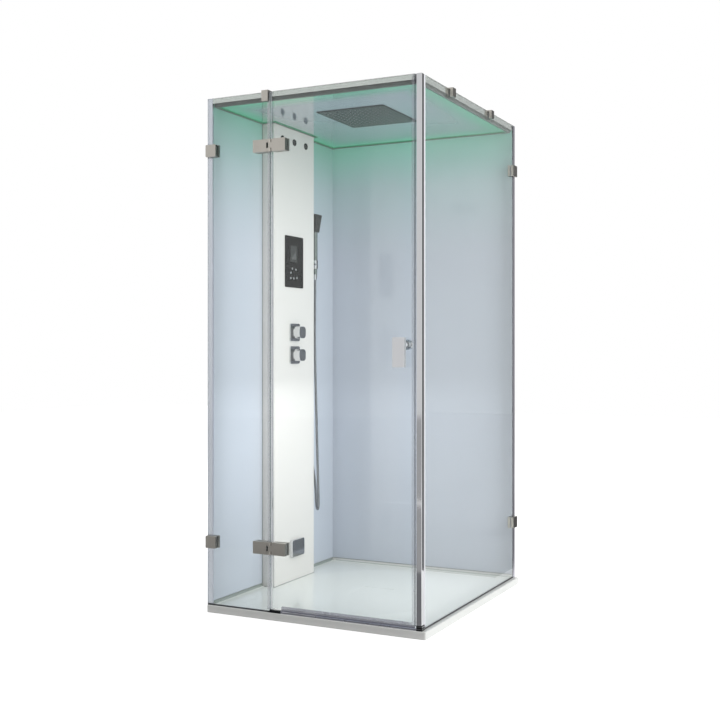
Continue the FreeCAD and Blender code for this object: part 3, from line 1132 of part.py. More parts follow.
# ---------------------------------------------------------------- handset, holder and hose
def make_handset():
    x, y = HANDSET_X, HANDSET_Y
    grip = rod((x, y, HANDSET_SHOULDER), (0, 0, 1), GRIP_LEN, GRIP_R)
    tail = rod((x, y, HANDSET_SHOULDER - GRIP_TAIL_LEN), (0, 0, 1), GRIP_TAIL_LEN, GRIP_TAIL_R)
    head_z = HANDSET_SHOULDER + GRIP_LEN - HEAD_ROOT
    low = HEAD_LOW_W / 2
    high = HEAD_TOP_W / 2
    corners = [V(x - HEAD_T / 2, y - low, head_z), V(x - HEAD_T / 2, y + low, head_z),
               V(x - HEAD_T / 2, y + high, head_z + HEAD_H), V(x - HEAD_T / 2, y - high, head_z + HEAD_H)]
    outline = Part.makePolygon(corners + corners[:1])
    head = Part.Face(outline).extrude(V(HEAD_T, 0, 0))
    head = rounded(head, (1, 0, 0), HEAD_R)
    face_x = x + HEAD_T / 2
    inset = HEAD_FACE_IN
    face_corners = [V(face_x - HEAD_FACE_T, y - low + inset, head_z + inset),
                    V(face_x - HEAD_FACE_T, y + low - inset, head_z + inset),
                    V(face_x - HEAD_FACE_T, y + high - inset, head_z + HEAD_H - inset),
                    V(face_x - HEAD_FACE_T, y - high + inset, head_z + HEAD_H - inset)]
    face_wire = Part.makePolygon(face_corners + face_corners[:1])
    face = Part.Face(face_wire).extrude(V(HEAD_FACE_T + 1, 0, 0))
    head = head.cut(face)
    face = rounded(face, (1, 0, 0), HEAD_FACE_R)
    hinge_point = V(x, y, head_z)
    for shape in (head, face):
        shape.rotate(hinge_point, V(0, 1, 0), HEAD_TILT)
    NODES["handset_body"] = joined([grip, tail, head])
    NODES["handset_face"] = face.cut(joined([grip, tail]))


def make_holder():
    x, y = HANDSET_X, HANDSET_Y
    low = HANDSET_SHOULDER - HOLDER_H
    cup = rod((x, y, low), (0, 0, 1), HOLDER_H, HOLDER_R)
    middle = low + HOLDER_H / 2
    arm = rod((x, COLUMN_Y[1], middle), (0, 1, 0), y - COLUMN_Y[1], HOLDER_ARM_R)
    foot = rod((x, COLUMN_Y[1], middle), (0, 1, 0), HOLDER_FOOT_T, HOLDER_R - 1)
    bore = rod((x, y, low - 1), (0, 0, 1), HOLDER_H + 2, HOLDER_BORE_R)
    NODES["handset_holder"] = joined([cup, arm, foot]).cut(bore)


def make_hose(elbow_y):
    x = COLUMN_X - ELBOW_IN
    y = COLUMN_Y[1] + ELBOW_OUT
    nipple = rod((x, elbow_y, ELBOW_Z), (0, 1, 0), y - elbow_y, ELBOW_R)
    plate = rod((x, COLUMN_Y[1], ELBOW_Z), (0, 1, 0), ELBOW_PLATE_T, ELBOW_PLATE_R)
    corner = Part.makeSphere(ELBOW_R, V(x, y, ELBOW_Z))
    drop = rod((x, y, ELBOW_Z - ELBOW_DROP), (0, 0, 1), ELBOW_DROP, ELBOW_R)
    solid = joined([nipple, plate, corner, drop])
    bore_r = PIPE_R - PIPE_WALL
    solid = solid.cut(rod((x, elbow_y - 1, ELBOW_Z), (0, 1, 0), y - elbow_y + 1, bore_r))
    NODES["hose_outlet_elbow"] = solid.cut(rod((x, y, ELBOW_Z - ELBOW_DROP + ELBOW_MOUTH),
                                               (0, 0, 1), ELBOW_DROP - ELBOW_MOUTH, bore_r))

    def hose_radius(corners, i, half_turn):
        shorter = min((corners[i] - corners[i - 1]).Length, (corners[i + 1] - corners[i]).Length)
        return BEND_SHARE * shorter / math.tan(half_turn)

    hose, path, radii = sweep(HOSE_ROUTE, hose_radius, HOSE_D / 2)
    NODES["shower_hose"] = hose
    section = math.pi * (HOSE_D / 2) ** 2
    print("hose bend radii:", " ".join("%.0f" % r for r in radii))
    print("hose length %.1f mm, volume / (section x length) %.4f"
          % (path.Length, hose.Volume / (section * path.Length)))


# ---------------------------------------------------------------- build and write
# like pieces of one body that share a node, each still a solid of its own
SHARED = {
    "wall_backings": ("left_wall_backing", "back_wall_backing"),
    "wall_edge_profiles": ("left_wall_edge_profile", "back_wall_edge_profile"),
    "header_rails": ("front_header_rail", "side_header_rail"),
    "ceiling_trim": ("ceiling_trim", "front_rail_skirt", "side_rail_skirt"),
    "wall_brackets": ("wall_bracket_plates", "wall_bracket_blocks"),
    "fixed_glass_screws": ("clamp_screws", "wall_bracket_bolts", "hinge_bolts_fixed"),
    "fixed_glass_pads": ("glass_pads", "hinge_pads_fixed"),
    "clear_glass_seals": ("post_side_seal", "fixed_edge_seal"),
    "hinge_leaves_fixed": ("hinge_leaves_fixed", "hinge_backs_fixed"),
    "hinge_leaves_door": ("hinge_leaves_door", "hinge_backs_door"),
    "door_bolts": ("hinge_bolts_door", "door_handle_bolt"),
    "door_pads": ("hinge_pads_door", "handle_washers"),
    "door_seals": ("door_bottom_seal", "door_magnet_seal"),
    "threshold_strips": ("threshold_strip", "threshold_end_piece"),
    "valve_plates": ("mixer_plate", "diverter_plate"),
    "valve_bodies": ("mixer_body", "diverter_body"),
    "water_pipes": ("mixer_pipes", "rain_pipe", "jet_pipe", "hose_feed_pipe", "jet_manifold"),
}


def share_nodes():
    for name, members in SHARED.items():
        solids = []
        for member in members:
            solids += NODES.pop(member).Solids
        NODES[name] = group(solids)


def main():
    NODES["shower_tray"] = make_tray()
    NODES["waste_body"] = make_waste()
    NODES["drain_cover"] = make_drain_cover()
    make_walls()
    make_top()
    make_post()
    make_rails()
    pads = make_clamps()
    pads += make_brackets()
    NODES["glass_pads"] = group(pads)
    make_fixed_glass()
    make_hinges()
    make_door()
    make_handle()
    make_column()
    manifold_under = make_jets()
    make_control_panel()
    make_valves()
    elbow_y = make_water_ways(manifold_under)
    make_steam()
    make_rain_head()
    make_handset()
    make_holder()
    make_hose(elbow_y)
    share_nodes()
    os.makedirs("parts", exist_ok=True)
    for name, shape in NODES.items():
        if not shape.isValid():
            print("not valid:", name)
        shape.exportStep("parts/" + name + ".step")
    print("nodes:", len(NODES))


main()
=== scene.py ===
"""Looks of a square steam shower cabin, built round its CAD frame.

Units are metres, in the frame's own axes: +Z is up, the door is at -Y, the column stands on the
-X wall, and the floor is Z = 0.
"""

import math

import bmesh
import bpy
from mathutils import Matrix, Vector


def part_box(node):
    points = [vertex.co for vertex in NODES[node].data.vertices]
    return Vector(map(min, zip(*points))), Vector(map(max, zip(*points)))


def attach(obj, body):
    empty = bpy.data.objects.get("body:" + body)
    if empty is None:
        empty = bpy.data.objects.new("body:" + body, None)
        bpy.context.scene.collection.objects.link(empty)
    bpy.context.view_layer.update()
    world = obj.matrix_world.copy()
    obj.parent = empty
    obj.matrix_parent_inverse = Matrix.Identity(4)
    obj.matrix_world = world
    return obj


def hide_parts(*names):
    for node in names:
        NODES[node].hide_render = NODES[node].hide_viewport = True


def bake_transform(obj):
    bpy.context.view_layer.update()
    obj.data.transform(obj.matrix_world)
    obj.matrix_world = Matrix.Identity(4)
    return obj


bl_info = {
    "name": "Steam Shower Cabin",
    "version": (1, 0, 0),
    "blender": (4, 5, 0),
    "location": "3D View > Sidebar > Cabin",
    "description": "Finishes, detail pieces and stage of a square steam shower cabin",
    "category": "Object",
}

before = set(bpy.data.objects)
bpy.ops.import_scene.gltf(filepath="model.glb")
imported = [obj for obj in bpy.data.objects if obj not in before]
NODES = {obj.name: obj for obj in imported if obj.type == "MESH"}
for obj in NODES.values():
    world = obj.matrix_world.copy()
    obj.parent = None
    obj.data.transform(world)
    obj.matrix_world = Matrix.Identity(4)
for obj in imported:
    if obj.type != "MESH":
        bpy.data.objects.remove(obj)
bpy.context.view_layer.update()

# ---------------- places read from the frame
COLUMN_LO, COLUMN_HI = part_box("column_shell")
STRIP_LO, STRIP_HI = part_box("led_strip")
PLATE_LO, PLATE_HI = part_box("rain_head_plate")
PANEL_LO, PANEL_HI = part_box("control_panel")
DISPLAY_LO, DISPLAY_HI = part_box("panel_display")
TRAY_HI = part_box("shower_tray")[1]
CEILING_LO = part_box("ceiling_panel")[0]
FACE_LO, FACE_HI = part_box("handset_face")
FOOT_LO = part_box("corner_post_foot")[0]
THRESHOLD_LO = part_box("threshold_strips")[0]
COVE_FOOT = TRAY_HI.z - 0.0139                  # the cove under the walls starts here
THRESHOLD_SPLIT = THRESHOLD_LO.x + 0.062       # the dark end piece reaches here
STRIP_SHADE_TOP = TRAY_HI.z + 0.008            # the door's bottom strip is in shade below this
BOARD_JOINT_Z = 1.25                           # the backing boards meet at this height
FIXING_ROWS = 0.3                              # steps of the backing boards' fixings
FIXING_COLUMNS = 0.4
LIGHTS_Z = 2.10                                # the light on the walls is full from here
POST_STRIPS_X = 0.40                           # the glass strips past this stand at the post
LOW_COVER_Z = 0.172                            # only the steam outlet's cover is below this
HEAD_FOOT_Z = 1.6395                           # the handset's head starts here
WALL_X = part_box("left_wall_facing")[1].x
WALL_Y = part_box("back_wall_facing")[0].y

# ---------------- the hose's route
# from the handset's tail down and round to the elbow's mouth
HOSE_ROUTE = [
    (-0.430, 0.234, 1.440), (-0.430, 0.234, 1.384), (-0.429, 0.230, 1.280), (-0.426, 0.224, 1.130),
    (-0.421, 0.221, 0.970), (-0.415, 0.219, 0.810), (-0.410, 0.218, 0.660), (-0.407, 0.219, 0.530),
    (-0.405, 0.222, 0.410), (-0.405, 0.224, 0.345), (-0.4204, 0.2426, 0.321),
    (-0.4417, 0.2684, 0.321), (-0.457, 0.287, 0.345), (-0.458, 0.285, 0.408),
    (-0.456, 0.268, 0.478), (-0.450, 0.238, 0.545), (-0.448, 0.222, 0.600),
    (-0.448, 0.222, 0.640),
]

# ---------------- camera
CAMERA_PLACE = (2.1082, -3.8788, 1.0812)
CAMERA_TURN = math.radians(24.07)
CAMERA_LENS = 50.33
CAMERA_SENSOR = 36.0
CAMERA_SHIFT = (-0.125, -0.0143)


def screen(*levels):
    """A colour as a screen shows it, 0 to 255, in linear light."""
    shares = [level / 255 for level in levels]
    return tuple(s / 12.92 if s <= 0.04045 else ((s + 0.055) / 1.055) ** 2.4 for s in shares)


def opaque(colour):
    """A colour with full alpha, as shader sockets take it."""
    return (*colour[:3], 1.0)


# ---------------- sizes and colours to change
def length(label, default, text):
    return bpy.props.FloatProperty(name=label, default=default, description=text,
                                   subtype="DISTANCE", unit="LENGTH", precision=4)


def colour(label, default, text):
    return bpy.props.FloatVectorProperty(name=label, default=default, description=text,
                                         subtype="COLOR", size=3, min=0.0, max=1.0)


class CabinSizes(bpy.types.PropertyGroup):
    hose_diameter: length("Hose diameter", 0.012, "Outside of the hose's ribs")
    hose_rib: length("Hose rib", 0.0044, "Length of one rib of the hose")
    glass_arris: length("Glass arris", 0.0008, "Width of the ground edge of each glass pane")
    nozzle_radius: length("Nozzle radius", 0.0028, "Foot of one rain nozzle")
    nozzle_height: length("Nozzle height", 0.0016, "How far a rain nozzle stands out")
    nozzle_pitch: length("Nozzle pitch", 0.024, "Distance between rain nozzles")
    diode_pitch: length("Diode pitch", 0.0167, "Distance between light diodes in the strip")
    bead_radius: length("Bead radius", 0.0014, "Sealant bead in the corners")
    hex_width: length("Hex width", 0.005, "Across the flats of the screw sockets")
    rain_nozzles: bpy.props.IntProperty(name="Rain nozzles", default=12, min=2, max=20,
                                        description="Rows and columns of rain nozzles")


class CabinColours(bpy.types.PropertyGroup):
    wall: colour("Wall", screen(196, 202, 214), "Painted glass of the walls")
    lamp: colour("Lamp", screen(36, 156, 112), "Green light along the ceiling")
    ceiling: colour("Ceiling", screen(150, 165, 175), "Gloss ceiling panel")
    tray: colour("Tray", screen(240, 242, 239), "Acrylic tray and drain cover")
    column: colour("Column", screen(230, 226, 223), "Gloss shell of the column")
    chrome: colour("Chrome", screen(222, 223, 226), "Polished fittings")
    nickel: colour("Nickel", screen(198, 194, 186), "Brushed hinges, clamps and brackets")
    glass_edge: colour("Glass edge", screen(120, 178, 160), "Tint in the glass panes' edges")
    rubber: colour("Rubber", screen(40, 42, 40), "Dark plastic of the handset and holder")


def sizes():
    return bpy.context.scene.cabin_sizes


def colours():
    return bpy.context.scene.cabin_colours


# ---------------- node helpers
def node(tree, kind, inputs=None, **settings):
    """One node with its settings; an input takes a value or the socket that feeds it. A kind
    without its prefix is of the tree's own sort, such as ShaderNode for a ShaderNodeTree."""
    own = tree.bl_idname.removesuffix("Tree")
    made = tree.nodes.new(kind if "Node" in kind else own + kind)
    for key, value in settings.items():
        setattr(made, key, value)
    for key, value in (inputs or {}).items():
        if isinstance(value, bpy.types.NodeSocket):
            tree.links.new(value, made.inputs[key])
        else:
            made.inputs[key].default_value = value
    return made


def calc(tree, operation, *values, clamp=False):
    return node(tree, "ShaderNodeMath", dict(enumerate(values)), operation=operation,
                use_clamp=clamp).outputs[0]


def mix(tree, factor, first, second, blend="MIX"):
    """A colour mix; Mix keeps a socket set per data type, and the colour ones are 6 and 7."""
    return node(tree, "Mix", {0: factor, 6: first, 7: second}, data_type="RGBA",
                blend_type=blend).outputs[2]


def ramp(tree, value, low, high, to_low, to_high, smooth=False):
    """A value carried from one range to another."""
    return node(tree, "MapRange", {
        "Value": value, "From Min": low, "From Max": high, "To Min": to_low, "To Max": to_high,
    }, interpolation_type="SMOOTHSTEP" if smooth else "LINEAR").outputs["Result"]


def grey(tree, level):
    return node(tree, "ShaderNodeCombineColor", {0: level, 1: level, 2: level}).outputs[0]


def object_place(tree):
    return node(tree, "TexCoord").outputs["Object"]


def coordinate(tree, output, axis):
    """One axis of a shaded point's place (Object) or of the way that it faces (Normal)."""
    found = node(tree, "TexCoord").outputs[output]
    return node(tree, "SeparateXYZ", {0: found}).outputs[axis]


def noise(tree, place, **inputs):
    return node(tree, "TexNoise", {"Vector": place, **inputs}).outputs["Fac"]


SOCKETS = {float: "NodeSocketFloat", int: "NodeSocketInt", 3: "NodeSocketVector",
           4: "NodeSocketColor"}


def new_group(name, inputs, result, kind="ShaderNodeTree"):
    """An empty node group: its tree, the sockets it is given and the socket of its result. An
    input is its default, or the socket's type where it has none; result is a name and a type."""
    tree = bpy.data.node_groups.new(name, kind)
    for label, default in inputs.items():
        bare = isinstance(default, str)
        kind = default if bare else SOCKETS[
            len(default) if isinstance(default, tuple) else type(default)]
        made = tree.interface.new_socket(label, in_out="INPUT", socket_type=kind)
        if not bare:
            made.default_value = default
    tree.interface.new_socket(result[0], in_out="OUTPUT", socket_type=result[1])
    given = tree.nodes.new("NodeGroupInput").outputs
    return tree, given, tree.nodes.new("NodeGroupOutput").inputs[0]


# ---------------- shared shader effects
def mottle_group():
    """A colour that darkens a little in soft patches."""
    tree, given, result = new_group("Mottle", {
        "Colour": (0.8, 0.8, 0.8, 1.0), "Darker": 0.05, "Patches": 6.0,
    }, ("Colour", "NodeSocketColor"))
    patch = noise(tree, object_place(tree), Scale=given["Patches"], Detail=3.0, Roughness=0.55)
    level = calc(tree, "SUBTRACT", 1.0, calc(tree, "MULTIPLY", patch, given["Darker"]))
    tree.links.new(mix(tree, 1.0, given["Colour"], grey(tree, level), "MULTIPLY"), result)


def touch_group():
    """A roughness that wanders where hands, water and cloths have been."""
    tree, given, result = new_group("Touch Marks", {
        "Roughness": 0.2, "Spread": 0.05, "Patches": 9.0}, ("Roughness", "NodeSocketFloat"))
    patch = noise(tree, object_place(tree), Scale=given["Patches"], Detail=4.0, Distortion=0.6)
    swing = calc(tree, "MULTIPLY", calc(tree, "SUBTRACT", patch, 0.5), given["Spread"])
    tree.links.new(calc(tree, "ADD", given["Roughness"], swing, clamp=True), result)


def grain_group():
    """Fine lines or specks for a bump; Stretch says how many per metre along each axis."""
    tree, given, result = new_group("Grain", {
        "Stretch": (400.0, 400.0, 400.0), "Detail": 2.0}, ("Height", "NodeSocketFloat"))
    place = node(tree, "VectorMath", {0: object_place(tree), 1: given["Stretch"]},
                 operation="MULTIPLY").outputs[0]
    tree.links.new(noise(tree, place, Scale=1.0, Detail=given["Detail"], Roughness=0.6), result)


def glow_group():
    """A mask that rises towards the ceiling's lights."""
    tree, given, result = new_group("Lamp Glow", {
        "Low": 1.6, "High": 2.08, "Curve": 2.0}, ("Mask", "NodeSocketFloat"))
    rise = ramp(tree, coordinate(tree, "Object", "Z"), given["Low"], given["High"], 0.0, 1.0)
    tree.links.new(calc(tree, "POWER", rise, given["Curve"], clamp=True), result)


def use_group(tree, name, **inputs):
    """The result of a shared effect with a material's own values."""
    return node(tree, "Group", inputs, node_tree=bpy.data.node_groups[name]).outputs[0]


def mottled(tree, base, darker, patches):
    return use_group(tree, "Mottle", Colour=opaque(base), Darker=darker, Patches=patches)


def touched(tree, roughness, spread, patches):
    return use_group(tree, "Touch Marks", Roughness=roughness, Spread=spread, Patches=patches)


def bumped(tree, height, strength, depth):
    return node(tree, "Bump", {
        "Height": height, "Strength": strength, "Distance": depth}).outputs["Normal"]


# ---------------- materials
def new_material(name):
    """A new material's tree and the socket of its surface."""
    made = bpy.data.materials.new("cabin_" + name)
    made.use_nodes = True
    tree = made.node_tree
    tree.nodes.clear()
    return tree, tree.nodes.new("ShaderNodeOutputMaterial").inputs["Surface"]


def material(name):
    return bpy.data.materials["cabin_" + name]


def surface(name, base, roughness, metallic, darker, patches, grain, spread=0.06, depth=0.0001,
            coat=0.0, paint=None, shine=0.5, glow=None):
    """A solid finish: patchy colour, touched gloss and a fine grain. paint may recolour it, and
    glow may say what light it gives."""
    tree, out = new_material(name)
    shade = mottled(tree, base, darker, patches)
    shader = node(tree, "BsdfPrincipled", {
        "Base Color": paint(tree, shade) if paint else shade,
        "Roughness": touched(tree, roughness, spread, patches * 1.7), "Metallic": metallic,
        "Coat Weight": coat, "Coat Roughness": 0.04, "Specular IOR Level": shine,
    })
    if glow:
        tree.links.new(glow(tree), shader.inputs["Emission Color"])
        shader.inputs["Emission Strength"].default_value = 0.5
    if grain:
        height = use_group(tree, "Grain", Stretch=grain)
        tree.links.new(bumped(tree, height, 0.6, depth), shader.inputs["Normal"])
    tree.links.new(shader.outputs[0], out)


def clear_glass(name, face_axis):
    """Clear glass that lets the lamps through; its edges, which face away from face_axis, look
    deeper."""
    tree, out = new_material(name)
    tint = opaque(screen(249, 252, 251))
    facing = calc(tree, "ABSOLUTE", coordinate(tree, "Normal", face_axis))
    base = mix(tree, ramp(tree, facing, 0.95, 0.5, 0.0, 1.0), tint, opaque(colours().glass_edge))
    glass = node(tree, "BsdfPrincipled", {
        "Base Color": base, "Roughness": 0.0, "Transmission Weight": 1.0, "IOR": 1.45})
    window = node(tree, "BsdfTransparent", {"Color": tint})
    mixed = node(tree, "MixShader", {
        0: node(tree, "LightPath").outputs["Is Shadow Ray"],
        1: glass.outputs[0], 2: window.outputs[0]})
    tree.links.new(mixed.outputs[0], out)


def strip_material(name, base, roughness, cover):
    """A soft translucent strip, darkened below STRIP_SHADE_TOP as painted shade; cover builds how
    much it hides of what is behind it.
    """
    tree, out = new_material(name)
    shade = mottled(tree, base, 0.1, 8.0)
    low = ramp(tree, coordinate(tree, "Object", "Z"), STRIP_SHADE_TOP - 0.012, STRIP_SHADE_TOP,
               1.0, 0.0)
    shader = node(tree, "BsdfPrincipled", {
        "Base Color": mix(tree, low, shade, darkened(tree, shade, (0.34, 0.34, 0.38))),
        "Roughness": touched(tree, roughness, 0.1, 14.0),
        "Alpha": cover(tree, coordinate(tree, "Object", "X"), low)})
    tree.links.new(shader.outputs[0], out)


def darkened(tree, base, share):
    """A colour times a share for each of red, green and blue."""
    return mix(tree, 1.0, base, opaque(share), "MULTIPLY")


def clear_cover(tree, across, low):
    """The strip at the corner post is milky; the others are nearly clear."""
    return ramp(tree, across, POST_STRIPS_X, POST_STRIPS_X + 0.02, 0.24, 0.92)


def grey_cover(tree, across, low):
    """The door's strips are nearly clear above its bottom edge, more so at the post."""
    upper = ramp(tree, across, POST_STRIPS_X, POST_STRIPS_X + 0.04, 0.35, 0.12)
    return calc(tree, "MAXIMUM", upper, calc(tree, "MULTIPLY", low, 0.9))


def lit_walls(tree, base):
    """The green of the ceiling's lights on the walls, fading down into the wall's own colour and
    lighter on the back wall."""
    wide = use_group(tree, "Lamp Glow", Low=1.50, High=LIGHTS_Z, Curve=1.7)
    close = use_group(tree, "Lamp Glow", Low=1.86, High=LIGHTS_Z, Curve=1.5)
    tint = opaque([0.45 * c + k for c, k in zip(colours().lamp, (0.25, 0.45, 0.42))])
    lift = ramp(tree, coordinate(tree, "Object", "Y"), WALL_Y - 0.001, WALL_Y, 1.0, 1.32)
    teal = mix(tree, 1.0, tint, grey(tree, lift), "MULTIPLY")
    washed = mix(tree, calc(tree, "MULTIPLY", wide, 0.55), base, teal)
    return mix(tree, calc(tree, "MULTIPLY", close, 0.85), washed, teal)


def edge_reach(tree, width):
    """A mask that falls from the ceiling's lit edges over a width."""
    reach = None
    for axis, edge, inward in (("X", STRIP_LO.x, 1), ("X", STRIP_HI.x, -1), ("Y", STRIP_HI.y, -1),
                               ("Y", STRIP_LO.y, 1)):
        mask = ramp(tree, coordinate(tree, "Object", axis), edge, edge + inward * width, 1.0, 0.0,
                    smooth=True)
        reach = mask if reach is None else calc(tree, "MAXIMUM", reach, mask)
    return calc(tree, "POWER", reach, 1.6)


def lit_ceiling(tree, base):
    """The green of the lights along the ceiling's edges."""
    return mix(tree, edge_reach(tree, 0.16), base, opaque(colours().lamp))


def ceiling_glow(tree):
    """The light that the ceiling's edges give back."""
    return mix(tree, edge_reach(tree, 0.14), (0.0, 0.0, 0.0, 1.0), opaque(colours().lamp))


def painted_dark_reflection(tree, base):
    """Painted dark reflection: darker on the faces that look straight out from the column, less so
    on the low cover.
    """
    facing = ramp(tree, coordinate(tree, "Normal", "X"), 0.72, 0.97, 0.0, 1.0, smooth=True)
    level = ramp(tree, coordinate(tree, "Object", "Z"), LOW_COVER_Z, LOW_COVER_Z - 0.012,
                 0.30, 0.62)
    return mix(tree, facing, base, mix(tree, 1.0, base, grey(tree, level), "MULTIPLY"))


def painted_side_reflection(tree, base):
    """Painted dark reflection: darker on the faces of the clamps and brackets that look out over
    the side glass.
    """
    facing = ramp(tree, coordinate(tree, "Normal", "X"), 0.7, 0.95, 0.0, 1.0)
    return mix(tree, facing, base, darkened(tree, base, (0.42, 0.43, 0.44)))


def tray_shade(tree, base):
    """Shade in the cove under the walls and on the tray's front edge."""
    cove = ramp(tree, coordinate(tree, "Object", "Z"), COVE_FOOT, COVE_FOOT + 0.0034, 0.0, 0.9)
    coved = mix(tree, cove, base, opaque(screen(126, 136, 131)))
    front = ramp(tree, coordinate(tree, "Normal", "Y"), -0.6, -0.95, 0.0, 1.0)
    return mix(tree, front, coved, opaque(screen(222, 222, 220)))


def board_joints(tree, base):
    """The backing boards' taped joint across and the rows of filled fixings."""
    rise = coordinate(tree, "Object", "Z")
    off = calc(tree, "ABSOLUTE", calc(tree, "SUBTRACT", rise, BOARD_JOINT_Z))
    along = calc(tree, "ADD", coordinate(tree, "Object", "X"), coordinate(tree, "Object", "Y"))
    spot = None
    for place, step in ((rise, FIXING_ROWS), (along, FIXING_COLUMNS)):
        away = calc(tree, "SUBTRACT", calc(tree, "PINGPONG", place, step), step / 2)
        square = calc(tree, "POWER", away, 2.0)
        spot = square if spot is None else calc(tree, "ADD", spot, square)
    shade = base
    for mask, low, high, tint in ((off, 0.024, 0.026, screen(238, 238, 234)),
                                  (spot, 0.005 ** 2, 0.006 ** 2, screen(196, 197, 196)),
                                  (off, 0.0008, 0.0012, screen(150, 151, 150))):
        shade = mix(tree, ramp(tree, mask, low, high, 1.0, 0.0), shade, opaque(tint))
    return shade


def dark_end(tree, base):
    """The threshold's dark end piece under the hinge side."""
    end = ramp(tree, coordinate(tree, "Object", "X"), THRESHOLD_SPLIT - 0.0005, THRESHOLD_SPLIT,
               1.0, 0.0)
    return mix(tree, end, base, opaque(screen(52, 53, 56)))


def foot_lines(tree, base):
    """Two light lines round the corner post's foot."""
    rise = calc(tree, "SUBTRACT", coordinate(tree, "Object", "Z"), FOOT_LO.z + 0.002)
    line = ramp(tree, calc(tree, "PINGPONG", rise, 0.0045), 0.0034, 0.0040, 0.0, 1.0)
    return mix(tree, line, base, opaque(screen(190, 192, 194)))


def lamp_material(name, base, strength):
    """A lit surface: its own colour with light added."""
    tree, out = new_material(name)
    shade = mottled(tree, base, 0.25, 60.0)
    body = node(tree, "BsdfPrincipled", {
        "Base Color": shade, "Roughness": 0.35, "Emission Color": shade,
        "Emission Strength": strength})
    tree.links.new(body.outputs[0], out)


def handset_material():
    """Black plastic head on a chrome grip; the change is at the head's foot."""
    tree, out = new_material("handset_two_tone")
    head = ramp(tree, coordinate(tree, "Object", "Z"), HEAD_FOOT_Z - 0.001, HEAD_FOOT_Z, 0.0, 1.0)
    height = calc(tree, "MULTIPLY", use_group(tree, "Grain", Stretch=(900.0, 900.0, 900.0)), head)
    shader = node(tree, "BsdfPrincipled", {
        "Base Color": mix(tree, head, opaque(screen(140, 150, 146)), opaque(screen(36, 39, 35))),
        "Roughness": touched(tree, ramp(tree, head, 0.0, 1.0, 0.22, 0.5), 0.08, 40.0),
        "Metallic": calc(tree, "SUBTRACT", 1.0, head), "Specular IOR Level": 0.25,
        "Normal": bumped(tree, height, 0.4, 0.0001)})
    tree.links.new(shader.outputs[0], out)


